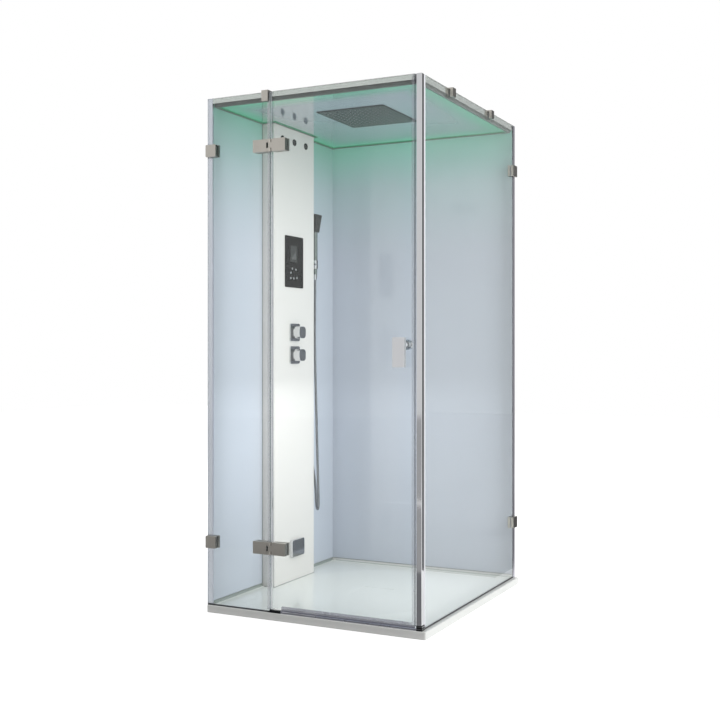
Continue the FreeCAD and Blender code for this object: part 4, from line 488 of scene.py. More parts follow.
def make_materials():
    """Every finish, by the name of its slot."""
    shades = colours()
    for build in (mottle_group, touch_group, grain_group, glow_group):
        build()
    across = (30.0, 2500.0, 2500.0)
    upright = (2500.0, 2500.0, 25.0)
    fine = (700.0, 700.0, 700.0)
    wavy = (40.0, 40.0, 40.0)
    # name, colour, roughness, metallic, darkening, patches, grain and what else is set
    for *plain, more in (
        ("tray_white", shades.tray, 0.22, 0.0, 0.03, 3.0, (260.0, 260.0, 260.0),
         dict(coat=0.4, depth=0.00012, paint=tray_shade)),
        ("waste_grey", screen(150, 152, 154), 0.35, 0.0, 0.1, 20.0, fine, {}),
        ("board", screen(226, 227, 226), 0.6, 0.0, 0.14, 5.0, (300.0, 300.0, 40.0),
         dict(depth=0.0003, paint=board_joints)),
        ("wall_glass", shades.wall, 0.12, 0.0, 0.02, 1.5, (9.0, 9.0, 9.0),
         dict(spread=0.03, coat=0.5, depth=0.0001, paint=lit_walls)),
        ("aluminium_profile", screen(206, 206, 216), 0.3, 1.0, 0.08, 8.0, upright,
         dict(depth=0.00002)),
        ("ceiling_gloss", shades.ceiling, 0.05, 0.0, 0.03, 2.0, (14.0, 14.0, 14.0),
         dict(spread=0.02, coat=1.0, depth=0.0001, paint=lit_ceiling, glow=ceiling_glow)),
        ("trim_dark", screen(116, 126, 121), 0.3, 0.0, 0.55, 22.0, across, dict(depth=0.00005)),
        ("polished_chrome", shades.chrome, 0.06, 1.0, 0.04, 12.0, wavy,
         dict(spread=0.04, depth=0.00003)),
        # column fittings: painted dark reflection on the faces that look out from the column
        ("column_chrome", shades.chrome, 0.08, 1.0, 0.1, 30.0, wavy,
         dict(spread=0.04, depth=0.00003, paint=painted_dark_reflection)),
        ("threshold_profile", screen(186, 186, 196), 0.28, 1.0, 0.1, 8.0, across,
         dict(depth=0.00006, paint=dark_end)),
        ("post_foot", screen(60, 61, 64), 0.16, 1.0, 0.2, 30.0, fine,
         dict(depth=0.00004, paint=foot_lines)),
        ("rail_chrome", screen(196, 198, 195), 0.12, 1.0, 0.12, 5.0, wavy,
         dict(spread=0.05, depth=0.00003)),
        ("dark_metal", screen(46, 47, 50), 0.18, 1.0, 0.2, 30.0, fine, dict(depth=0.00004)),
        # clamps and brackets: painted dark reflection on the faces over the side glass
        ("brushed_nickel", shades.nickel, 0.3, 1.0, 0.12, 14.0, across,
         dict(spread=0.1, depth=0.00006, paint=painted_side_reflection)),
        ("stainless", screen(190, 190, 192), 0.24, 1.0, 0.1, 20.0, (900.0, 900.0, 60.0),
         dict(depth=0.00006)),
        ("dark_seal", screen(88, 88, 92), 0.55, 0.0, 0.2, 20.0, fine, {}),
        ("panel_white", shades.column, 0.2, 0.0, 0.02, 2.0, (120.0, 120.0, 120.0),
         dict(coat=0.5, depth=0.00006)),
        ("black_plastic", shades.rubber, 0.5, 0.0, 0.15, 60.0, fine, dict(shine=0.3)),
        ("black_glass", screen(14, 15, 14), 0.12, 0.0, 0.2, 30.0, None,
         dict(spread=0.03, shine=0.03)),
        ("display_glass", screen(70, 72, 71), 0.2, 0.0, 0.35, 45.0, None, dict(shine=0.06)),
        ("circuit", screen(30, 92, 58), 0.4, 0.0, 0.35, 150.0, (500.0, 1500.0, 1500.0), {}),
        ("brass_fitting", screen(186, 154, 92), 0.3, 1.0, 0.25, 35.0, fine, {}),
        ("white_plastic", screen(232, 232, 228), 0.35, 0.0, 0.05, 12.0, fine, {}),
        ("rain_plate", screen(34, 36, 35), 0.26, 1.0, 0.15, 9.0, across, dict(depth=0.00008)),
        ("hose_metal", screen(150, 152, 156), 0.2, 1.0, 0.2, 60.0, (1200.0, 1200.0, 1200.0),
         dict(depth=0.00004)),
        ("key_mark", screen(178, 182, 184), 0.4, 0.0, 0.1, 90.0, fine, {}),
        ("display_mark", screen(84, 87, 86), 0.4, 0.0, 0.1, 90.0, fine, {}),
        ("nozzle_rubber", screen(118, 122, 122), 0.5, 0.0, 0.2, 120.0, fine, {}),
        ("sealant", screen(134, 141, 138), 0.4, 0.0, 0.25, 12.0, fine, {}),
    ):
        surface(*plain, **more)
    lamp_material("led_green", screen(34, 120, 84), 0.12)
    lamp_material("led_diode", screen(90, 205, 150), 0.25)
    strip_material("clear_seal", screen(246, 247, 253), 0.25, clear_cover)
    clear_glass("clear_glass_front", "Y")
    clear_glass("clear_glass_side", "X")
    strip_material("grey_seal", screen(206, 205, 218), 0.35, grey_cover)
    handset_material()


# ---------------- piece helpers
def link(obj):
    bpy.context.scene.collection.objects.link(obj)
    return obj


def piece(name, mesh, finish, body, replaces=()):
    """A finished piece at the origin, with its finish, its body and the nodes it stands for."""
    obj = link(bpy.data.objects.new(name, mesh))
    mesh.materials.clear()
    mesh.materials.append(material(finish))
    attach(obj, body)
    if replaces:
        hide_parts(*replaces)
    return obj


def mesh_of(builder, name, smooth_below=None):
    """A mesh from a bmesh with its normals outwards. Edges turned by less than smooth_below
    degrees are shaded smooth; without it the mesh is flat."""
    bmesh.ops.recalc_face_normals(builder, faces=builder.faces)
    if smooth_below:
        builder.normal_update()
        for face in builder.faces:
            face.smooth = True
        for edge in builder.edges:
            if len(edge.link_faces) == 2:
                edge.smooth = edge.calc_face_angle(0.0) < math.radians(smooth_below)
    mesh = bpy.data.meshes.new(name)
    builder.to_mesh(mesh)
    builder.free()
    return mesh


def sewn(name):
    """A bmesh of a CAD node with its loose triangles sewn together."""
    builder = bmesh.new()
    builder.from_mesh(NODES[name].data)
    bmesh.ops.remove_doubles(builder, verts=builder.verts, dist=1e-5)
    return builder


def islands(name):
    """The corners of each separate solid of a CAD node."""
    builder = sewn(name)
    seen = set()
    found = []
    for vert in builder.verts:
        if vert in seen:
            continue
        seen.add(vert)
        waiting = [vert]
        corners = []
        while waiting:
            here = waiting.pop()
            corners.append(here.co.copy())
            for other in (edge.other_vert(here) for edge in here.link_edges):
                if other not in seen:
                    seen.add(other)
                    waiting.append(other)
        found.append(corners)
    builder.free()
    return found


def add_block(builder, low, high, bevel, segments):
    """A block between two corners with its edges rounded."""
    low, high = Vector(low), Vector(high)
    made = bmesh.ops.create_cube(builder, size=1.0, matrix=(
        Matrix.Translation((low + high) / 2) @ Matrix.Diagonal((*(high - low), 1.0))))["verts"]
    edges = {edge for vert in made for edge in vert.link_edges}
    bmesh.ops.bevel(builder, geom=list(edges), offset=bevel, segments=segments, profile=0.5,
                    affect="EDGES")


def join_rings(builder, rings):
    """Faces between each ring of corners and the next."""
    for low, high in zip(rings, rings[1:]):
        for i in range(len(low)):
            j = (i + 1) % len(low)
            builder.faces.new((low[i], low[j], high[j], high[i]))


def add_turned(builder, profile, place, steps):
    """A turned form: profile points are (radius, height) along +Z, then moved by a matrix."""
    rings = []
    for radius, height in profile:
        turns = [2 * math.pi * i / steps for i in range(steps)]
        rings.append([builder.verts.new(place @ Vector((
            radius * math.cos(turn), radius * math.sin(turn), height))) for turn in turns])
    join_rings(builder, rings)
    return rings


def aim(direction, at=(0, 0, 0)):
    """The matrix that turns +Z to a direction and moves to a point."""
    turn = Vector((0, 0, 1)).rotation_difference(Vector(direction)).to_matrix().to_4x4()
    return Matrix.Translation(Vector(at)) @ turn


# ---------------- geometry trees
def geometry_tree(name, inputs):
    """A geometry tree with its named inputs and the finish that its shape takes."""
    return new_group(name, {"Geometry": "NodeSocketGeometry", **inputs,
                            "Finish": "NodeSocketMaterial"},
                     ("Geometry", "NodeSocketGeometry"), "GeometryNodeTree")


def close_tree(tree, given, result, shape):
    """The end of every tree: instances made real and the finish set."""
    real = node(tree, "RealizeInstances", {"Geometry": shape})
    painted = node(tree, "SetMaterial", {
        "Geometry": real.outputs[0], "Material": given["Finish"]})
    tree.links.new(painted.outputs[0], result)


def nozzle_field_tree():
    """Cones in a square field, turned and moved to their plate."""
    tree, given, result = geometry_tree("Nozzle Field", {
        "Columns": 12, "Rows": 12, "Pitch": 0.024, "Foot Radius": 0.003, "Tip Radius": 0.0018,
        "Height": 0.0016, "Turn": (0.0, 0.0, 0.0), "Centre": (0.0, 0.0, 0.0)})
    spans = [calc(tree, "MULTIPLY", calc(tree, "SUBTRACT", given[label], 1.0), given["Pitch"])
             for label in ("Columns", "Rows")]
    grid = node(tree, "MeshGrid", {
        "Size X": spans[0], "Size Y": spans[1], "Vertices X": given["Columns"],
        "Vertices Y": given["Rows"]})
    cone = node(tree, "MeshCone", {
        "Vertices": 12, "Radius Top": given["Tip Radius"], "Radius Bottom": given["Foot Radius"],
        "Depth": given["Height"]})
    placed = node(tree, "InstanceOnPoints", {
        "Points": grid.outputs["Mesh"], "Instance": cone.outputs["Mesh"]})
    moved = node(tree, "Transform", {
        "Geometry": placed.outputs[0], "Translation": given["Centre"], "Rotation": given["Turn"]})
    close_tree(tree, given, result, moved.outputs[0])


def diode_run_tree():
    """Small lamps at even steps along a path, each turned along it."""
    tree, given, result = geometry_tree("Diode Run", {
        "Pitch": 0.0167, "Size": (0.005, 0.003, 0.0008)})
    path = node(tree, "MeshToCurve", {"Mesh": given["Geometry"]})
    steps = node(tree, "ResampleCurve", {
        "Curve": path.outputs[0], "Length": given["Pitch"]}, mode="LENGTH")
    turn = node(tree, "FunctionNodeAlignRotationToVector", {
        "Vector": node(tree, "InputTangent").outputs[0]}, axis="X")
    lamp = node(tree, "MeshCube", {"Size": given["Size"]})
    placed = node(tree, "InstanceOnPoints", {
        "Points": steps.outputs[0], "Instance": lamp.outputs["Mesh"],
        "Rotation": turn.outputs[0]})
    close_tree(tree, given, result, placed.outputs[0])


def bead_tree():
    """A round bead along a path."""
    tree, given, result = geometry_tree("Bead", {"Radius": 0.002})
    path = node(tree, "MeshToCurve", {"Mesh": given["Geometry"]})
    ring = node(tree, "CurvePrimitiveCircle", {"Resolution": 8, "Radius": given["Radius"]})
    bead = node(tree, "CurveToMesh", {
        "Curve": path.outputs[0], "Profile Curve": ring.outputs[0], "Fill Caps": True})
    close_tree(tree, given, result, bead.outputs[0])


def copies_tree():
    """Copies of one shape on points, each turned to face the way that its point says."""
    tree, given, result = geometry_tree("Copies", {"Shape": "NodeSocketObject"})
    facing = node(tree, "InputNamedAttribute", {"Name": "facing"}, data_type="FLOAT_VECTOR")
    turn = node(tree, "FunctionNodeAlignRotationToVector", {"Vector": facing.outputs[0]}, axis="Z")
    shape = node(tree, "ObjectInfo", {"Object": given["Shape"]})
    placed = node(tree, "InstanceOnPoints", {
        "Points": given["Geometry"], "Instance": shape.outputs["Geometry"],
        "Rotation": turn.outputs[0]})
    close_tree(tree, given, result, placed.outputs[0])


def points_mesh(points, facings=None, edges=()):
    """The points or path that a geometry tree starts from."""
    mesh = bpy.data.meshes.new("places")
    mesh.from_pydata([tuple(p) for p in points], list(edges), [])
    if facings:
        attribute = mesh.attributes.new("facing", "FLOAT_VECTOR", "POINT")
        for item, facing in zip(attribute.data, facings):
            item.vector = facing
    return mesh


def path_mesh(points, closed=False):
    """The points joined in order, and the last to the first if closed."""
    count = len(points)
    return points_mesh(points, edges=[
        (i, (i + 1) % count) for i in range(count if closed else count - 1)])


def grown(tree_name, source, values):
    """The plain mesh that a geometry tree makes from a source mesh and its inputs."""
    tree = bpy.data.node_groups[tree_name]
    obj = link(bpy.data.objects.new("growing", source))
    modifier = obj.modifiers.new("Grow", "NODES")
    modifier.node_group = tree
    for item in tree.interface.items_tree:
        if item.item_type == "SOCKET" and item.in_out == "INPUT" and item.name in values:
            modifier[item.identifier] = values[item.name]
    shown = obj.evaluated_get(bpy.context.evaluated_depsgraph_get())
    mesh = bpy.data.meshes.new_from_object(shown)
    bpy.data.objects.remove(obj)
    if not mesh.vertices:
        raise RuntimeError(f"{tree_name} made no mesh")
    return mesh


def make_trees():
    for build in (nozzle_field_tree, diode_run_tree, bead_tree, copies_tree):
        build()


# ---------------- operators
class CABIN_OT_finishes(bpy.types.Operator):
    """Give every CAD node the finish of its material slot"""

    bl_idname = "cabin.finishes"
    bl_label = "Finishes"

    SPECIAL = {
        "front_fixed_glass": "clear_glass_front",
        "door_glass": "clear_glass_front",
        "side_fixed_glass": "clear_glass_side",
        "handset_body": "handset_two_tone",
        "threshold_strips": "threshold_profile",
        "corner_post_foot": "post_foot",
        "header_rails": "rail_chrome",
        **{name: "column_chrome" for name in (
            "valve_plates", "mixer_knob", "diverter_knob", "steam_outlet_cover",
            "handset_holder", "hose_outlet_elbow")},
    }

    def execute(self, context):
        make_materials()
        make_trees()
        for name, obj in NODES.items():
            slot = obj.data.materials[0].name.split(".")[0]
            finish = material(self.SPECIAL.get(name, slot))
            for index in range(len(obj.material_slots)):
                obj.material_slots[index].material = finish
        return {"FINISHED"}


class CABIN_OT_glass(bpy.types.Operator):
    """Give the glass panes their ground edges"""

    bl_idname = "cabin.glass"
    bl_label = "Glass panes"

    SLACK = 0.00015                 # each face stands this far inside the pane's own
    PANES = (
        ("front_fixed_glass", "cabin", "clear_glass_front"),
        ("side_fixed_glass", "cabin", "clear_glass_side"),
        ("door_glass", "door", "clear_glass_front"),
    )

    def execute(self, context):
        for name, body, finish in self.PANES:
            builder = sewn(name)
            bmesh.ops.dissolve_limit(builder, angle_limit=math.radians(0.5), verts=builder.verts,
                                     edges=builder.edges)
            sharp = [e for e in builder.edges
                     if len(e.link_faces) == 2 and e.calc_face_angle(0.0) > math.radians(60)]
            bmesh.ops.bevel(builder, geom=sharp, offset=sizes().glass_arris, segments=1,
                            profile=0.5, affect="EDGES", clamp_overlap=True)
            low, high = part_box(name)
            thin = min(range(3), key=lambda k: high[k] - low[k])
            middle = (low[thin] + high[thin]) / 2
            for vert in builder.verts:
                vert.co[thin] += math.copysign(self.SLACK, middle - vert.co[thin])
            pane = name + "_pane"
            piece(pane, mesh_of(builder, pane), finish, body, [name])
        return {"FINISHED"}


def route_line(route):
    """Points of the smooth line that a route's control points make."""
    curve = bpy.data.curves.new("route", "CURVE")
    curve.dimensions = "3D"
    curve.resolution_u = 24
    spline = curve.splines.new("NURBS")
    spline.points.add(len(route) - 1)
    for point, place in zip(spline.points, route):
        point.co = (*place, 1.0)
    spline.order_u = 3
    spline.use_endpoint_u = True
    obj = link(bpy.data.objects.new("route", curve))
    mesh = bpy.data.meshes.new_from_object(obj)
    line = [v.co.copy() for v in mesh.vertices]
    bpy.data.objects.remove(obj)
    bpy.data.meshes.remove(mesh)
    return line


def even_steps(line, step):
    """Points at even steps along a line, from its first point to its last."""
    total = sum((b - a).length for a, b in zip(line, line[1:]))
    count = max(2, round(total / step))
    step = total / count
    points = [line[0].copy()]
    done = 0.0
    walked = 0.0
    for a, b in zip(line, line[1:]):
        span = (b - a).length
        while done + step <= walked + span + 1e-9 and len(points) < count:
            done += step
            points.append(a.lerp(b, (done - walked) / span))
        walked += span
    points.append(line[-1].copy())
    return points


def ribbed_tube(line, radius, rib, sides=14):
    """A tube along a line whose radius dips between its ribs."""
    dips = (0.90, 1.0, 1.0, 0.90)
    points = even_steps(line, rib / len(dips))
    builder = bmesh.new()
    across = Vector((1, 0, 0))
    rings = []
    for i, point in enumerate(points):
        ahead = (points[min(i + 1, len(points) - 1)] - points[max(i - 1, 0)]).normalized()
        across = (across - ahead * across.dot(ahead)).normalized()
        beside = ahead.cross(across)
        reach = radius * dips[i % len(dips)]
        turns = [2 * math.pi * k / sides for k in range(sides)]
        rings.append([builder.verts.new(
            point + reach * (math.cos(turn) * across + math.sin(turn) * beside))
            for turn in turns])
    join_rings(builder, rings)
    builder.faces.new(rings[0][::-1])
    builder.faces.new(rings[-1])
    return mesh_of(builder, "shower_hose_ribbed", 50.0)


class CABIN_OT_hose(bpy.types.Operator):
    """Make the ribbed hose from the handset to its elbow, with a nut at each end"""

    bl_idname = "cabin.hose"
    bl_label = "Hose"

    def nut(self, name, place, body):
        """A tapered hose nut; its wide end is at the matrix's origin, +Z along the hose."""
        profile = [(0.0, 0.0), (0.0089, 0.0), (0.0094, 0.0006), (0.0094, 0.009), (0.0088, 0.0105),
                   (0.0088, 0.0165), (0.0084, 0.0185), (0.0072, 0.0255), (0.0066, 0.0275),
                   (0.0061, 0.0279)]
        builder = bmesh.new()
        rings = add_turned(builder, profile, place, 28)
        builder.faces.new(rings[-1])
        bmesh.ops.remove_doubles(builder, verts=builder.verts, dist=1e-6)
        return piece(name, mesh_of(builder, name, 40.0), "column_chrome", body)

    def execute(self, context):
        line = route_line(HOSE_ROUTE)
        mesh = ribbed_tube(line, sizes().hose_diameter / 2, sizes().hose_rib)
        hose = link(bpy.data.objects.new("shower_hose_ribbed", mesh))
        mesh.materials.append(material("hose_metal"))
        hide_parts("shower_hose")
        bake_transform(hose)
        top = self.nut("hose_nut_handset", aim((0, 0, -1), HOSE_ROUTE[0]), "handset")
        low = self.nut("hose_nut_elbow", aim((0, 0, -1), HOSE_ROUTE[-1]), "cabin")
        return {"FINISHED"}


class CABIN_OT_screws(bpy.types.Operator):
    """Make the socket screws through the glass, with a hexagon in each head"""

    bl_idname = "cabin.screws"
    bl_label = "Socket screws"

    HEAD_R = 0.007
    HEAD_T = 0.003
    HEAD_EDGE = 0.0006
    SOCKET_DEPTH = 0.002
    SHANK_R = 0.004
    MARGIN = 0.001                  # what stands out this far past the shank is a head
    STEPS = 24

    def head_shape(self):
        """A screw head with a hexagon socket; its outer face is at the origin, facing +Z."""
        builder = bmesh.new()
        outer = add_turned(builder, [
            (self.HEAD_R, -self.HEAD_T), (self.HEAD_R, -self.HEAD_EDGE),
            (self.HEAD_R - self.HEAD_EDGE, 0.0)], Matrix.Identity(4), self.STEPS)
        corner = sizes().hex_width / math.sqrt(3)
        hexagons = []
        for height in (0.0, -self.SOCKET_DEPTH):
            ring = []
            for i in range(self.STEPS):
                turn = 2 * math.pi * i / self.STEPS
                flat = math.cos(math.pi / 6) / math.cos((turn % (math.pi / 3)) - math.pi / 6)
                ring.append(builder.verts.new((corner * flat * math.cos(turn),
                                               corner * flat * math.sin(turn), height)))
            hexagons.append(ring)
        join_rings(builder, [outer[-1], *hexagons])
        builder.faces.new(hexagons[1])
        builder.faces.new(outer[0][::-1])
        return link(bpy.data.objects.new("screw_head_shape", mesh_of(builder, "screw_head")))

    def facing(self, corners, middle, axis):
        """The way that a screw's head faces: the end with the most corners off its shank."""
        ends = {True: 0, False: 0}
        for away in (corner - middle for corner in corners):
            if math.hypot(away[axis - 1], away[axis - 2]) > self.SHANK_R + self.MARGIN:
                ends[away[axis] > 0] += 1
        face = Vector()
        face[axis] = 1.0 if ends[True] > ends[False] else -1.0
        return face

    def screws(self, name, node_name, body, head_shape):
        """All screws of a node: heads as copies, shanks as turned bars."""
        points = []
        facings = []
        builder = bmesh.new()
        for corners in islands(node_name):
            low = Vector([min(c[k] for c in corners) for k in range(3)])
            high = Vector([max(c[k] for c in corners) for k in range(3)])
            middle = (low + high) / 2
            size = high - low
            axis = min(range(3), key=lambda k: abs(size[k - 1] - size[k - 2]))
            start = middle.copy()
            stop = middle.copy()
            start[axis], stop[axis] = low[axis], high[axis]
            if min(size[axis - 1], size[axis - 2]) > 2 * self.SHANK_R + self.MARGIN:
                face = self.facing(corners, middle, axis)
                if face[axis] > 0:
                    start, stop = stop, start
                points.append(start.copy())
                facings.append(face)
                start = start - face * self.HEAD_T
            run = stop - start
            rings = add_turned(builder, [(self.SHANK_R, 0.0), (self.SHANK_R, run.length)],
                               aim(run, start), 20)
            builder.faces.new(rings[0][::-1])
            builder.faces.new(rings[-1])
        heads = grown("Copies", points_mesh(points, facings), {
            "Shape": head_shape, "Finish": material("stainless")})
        builder.from_mesh(heads)
        piece(name, mesh_of(builder, name, 35.0), "stainless", body, [node_name])

    def execute(self, context):
        head = self.head_shape()
        self.screws("fixed_socket_screws", "fixed_glass_screws", "cabin", head)
        self.screws("door_socket_screws", "door_bolts", "door", head)
        bpy.data.objects.remove(head)
        return {"FINISHED"}


class CABIN_OT_rain_head(bpy.types.Operator):
    """Make the rain head's rubber nozzles"""

    bl_idname = "cabin.rain_head"
    bl_label = "Rain head"

    def execute(self, context):
        size = sizes()
        centre = (PLATE_LO + PLATE_HI) / 2
        mesh = grown("Nozzle Field", points_mesh([(0, 0, 0)]), {
            "Columns": size.rain_nozzles, "Rows": size.rain_nozzles, "Pitch": size.nozzle_pitch,
            "Foot Radius": size.nozzle_radius, "Tip Radius": size.nozzle_radius * 0.6,
            "Height": size.nozzle_height, "Turn": (math.pi, 0.0, 0.0),
            "Centre": (centre.x, centre.y, PLATE_LO.z), "Finish": material("nozzle_rubber")})
        piece("rain_nozzles", mesh, "nozzle_rubber", "cabin")
        return {"FINISHED"}


class CABIN_OT_light_strip(bpy.types.Operator):
    """Make the diodes of the green light strip under the ceiling"""

    bl_idname = "cabin.light_strip"
    bl_label = "Light strip"

    STRIP_WIDTH = 0.006
    TRIM_WIDTH = 0.008
    DIODE = (0.005, 0.003, 0.0008)
    DROP = 0.0004                   # the diodes' middles are this far below the strip

    def execute(self, context):
        middle = self.STRIP_WIDTH / 2
        x0, x1 = STRIP_LO.x + middle, STRIP_HI.x - middle
        y0, y1 = STRIP_LO.y + middle, STRIP_HI.y - middle
        out = self.TRIM_WIDTH + middle
        column_x = COLUMN_HI.x + out
        column_y0, column_y1 = COLUMN_LO.y - out, COLUMN_HI.y + out
        z = STRIP_LO.z - self.DROP
        path = path_mesh([(x, y, z) for x, y in (
            (x0, y0), (x1, y0), (x1, y1), (x0, y1), (x0, column_y1), (column_x, column_y1),
            (column_x, column_y0), (x0, column_y0))], closed=True)
        mesh = grown("Diode Run", path, {
            "Pitch": sizes().diode_pitch, "Size": self.DIODE,
            "Finish": material("led_diode")})
        piece("strip_diodes", mesh, "led_diode", "cabin")
        return {"FINISHED"}


class CABIN_OT_sealant(bpy.types.Operator):
    """Run the sealant beads along the wall corner, the ledges and the column"""

    bl_idname = "cabin.sealant"
    bl_label = "Sealant beads"

    STAND_OFF = 0.3                 # a bead's middle stands off its corner, in its own radii

    def execute(self, context):
        radius = sizes().bead_radius
        near = radius * self.STAND_OFF
        ledge = TRAY_HI.z
        top = CEILING_LO.z
        x, y = WALL_X + near, WALL_Y - near
        wall_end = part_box("left_wall_facing")[0].y + radius
        right_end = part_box("back_wall_facing")[1].x - radius
        front, back, out = COLUMN_LO.y - near, COLUMN_HI.y + near, COLUMN_HI.x + near
        up, foot = ledge + near, COLUMN_LO.z + near
        runs = (
            [(x, wall_end, up), (x, front, up)],
            [(x, back, up), (x, y, up), (right_end, y, up)],
            [(x, front, ledge), (x, front, top)],
            [(x, back, ledge), (x, back, top)],
            [(x, front, foot), (out, front, foot), (out, back, foot), (x, back, foot)],
        )
        builder = bmesh.new()
        for run in runs:
            builder.from_mesh(grown("Bead", path_mesh(run), {
                "Radius": radius, "Finish": material("sealant")}))
        mesh = mesh_of(builder, "sealant_beads", 60.0)
        piece("sealant_beads", mesh, "sealant", "cabin")
        return {"FINISHED"}


class CABIN_OT_control_panel(bpy.types.Operator):
    """Make the control panel's key marks and its display's bars"""

    bl_idname = "cabin.control_panel"
    bl_label = "Control panel"

    # key marks across and up the panel, from its middle and its lower edge
    KEYS = ((-0.0175, 0.086), (0.0115, 0.083), (-0.0295, 0.066), (-0.0305, 0.042),
            (-0.0055, 0.042), (0.0205, 0.045))
    KEY_OUTER = 0.0048
    KEY_INNER = 0.0022
    KEY_T = 0.0003
    BARS = 5
    BAR_MARGIN = 0.012              # from the display's lower corner to the first bar
    BAR_PITCH = 0.007
    BAR_WIDTH = 0.004
    BAR_HEIGHT = 0.010              # of the first bar
    BAR_RISE = 0.006                # each bar is taller than the last by this

    def ring(self):
        """The shape of one key mark."""
        profile = [(self.KEY_INNER, 0.0), (self.KEY_INNER, self.KEY_T),
                   (self.KEY_OUTER, self.KEY_T), (self.KEY_OUTER, 0.0)]
        builder = bmesh.new()
        rings = add_turned(builder, profile, Matrix.Identity(4), 24)
        join_rings(builder, [rings[-1], rings[0]])
        return link(bpy.data.objects.new("ring_shape", mesh_of(builder, "ring")))

    def execute(self, context):
        middle_y = (PANEL_LO.y + PANEL_HI.y) / 2
        front = PANEL_HI.x
        ring = self.ring()
        points = [(front, middle_y + y, PANEL_LO.z + z) for y, z in self.KEYS]
        mesh = grown("Copies", points_mesh(points, [(1, 0, 0)] * len(points)), {
            "Shape": ring, "Finish": material("key_mark")})
        bpy.data.objects.remove(ring)
        piece("panel_key_marks", mesh, "key_mark", "cabin")
        builder = bmesh.new()
        glass = DISPLAY_HI.x
        z = DISPLAY_LO.z + self.BAR_MARGIN
        for i in range(self.BARS):
            y = DISPLAY_LO.y + self.BAR_MARGIN + i * self.BAR_PITCH
            height = self.BAR_HEIGHT + self.BAR_RISE * i
            add_block(builder, (glass - 0.0002, y, z),
                      (glass + 0.0001, y + self.BAR_WIDTH, z + height), 0.00008, 1)
        piece("display_bars", mesh_of(builder, "display_bars"), "display_mark", "cabin")
        return {"FINISHED"}


class CABIN_OT_handset(bpy.types.Operator):
    """Make the handset's small nozzles on its tilted face"""

    bl_idname = "cabin.handset"
    bl_label = "Handset"

    TILT = math.radians(96.0)

    def execute(self, context):
        normal = Vector((math.sin(self.TILT), 0.0, math.cos(self.TILT)))
        outer = max((v.co for v in NODES["handset_face"].data.vertices),
                    key=lambda co: co.dot(normal))
        middle = (FACE_LO + FACE_HI) / 2
        centre = middle + normal * (outer - middle).dot(normal)
        mesh = grown("Nozzle Field", points_mesh([(0, 0, 0)]), {
            "Columns": 7, "Rows": 5, "Pitch": 0.0085, "Foot Radius": 0.0014,
            "Tip Radius": 0.0009, "Height": 0.0012, "Turn": (0.0, self.TILT, 0.0),
            "Centre": tuple(centre), "Finish": material("nozzle_rubber")})
        piece("handset_nozzles", mesh, "nozzle_rubber", "handset")
        return {"FINISHED"}


class CABIN_OT_knob_marks(bpy.types.Operator):
    """Put the raised pointer on each shower knob"""

    bl_idname = "cabin.knob_marks"
    bl_label = "Knob pointers"

    HALF_WIDTH = 0.0008
    SUNK = 0.0004                   # into the knob's face
    PROUD = 0.0005                  # out of it
    INNER_END = 0.017               # both ends are measured down from the knob's top
    OUTER_END = 0.006

    def execute(self, context):
        for name, body in (("mixer_knob", "mixer_control"), ("diverter_knob", "diverter_control")):
            low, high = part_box(name)
            y = (low.y + high.y) / 2
            builder = bmesh.new()
            add_block(builder, (high.x - self.SUNK, y - self.HALF_WIDTH, high.z - self.INNER_END),
                      (high.x + self.PROUD, y + self.HALF_WIDTH, high.z - self.OUTER_END),
                      0.0004, 2)
            pointer = name + "_pointer"
            piece(pointer, mesh_of(builder, pointer, 40.0), "dark_metal", body)
        return {"FINISHED"}


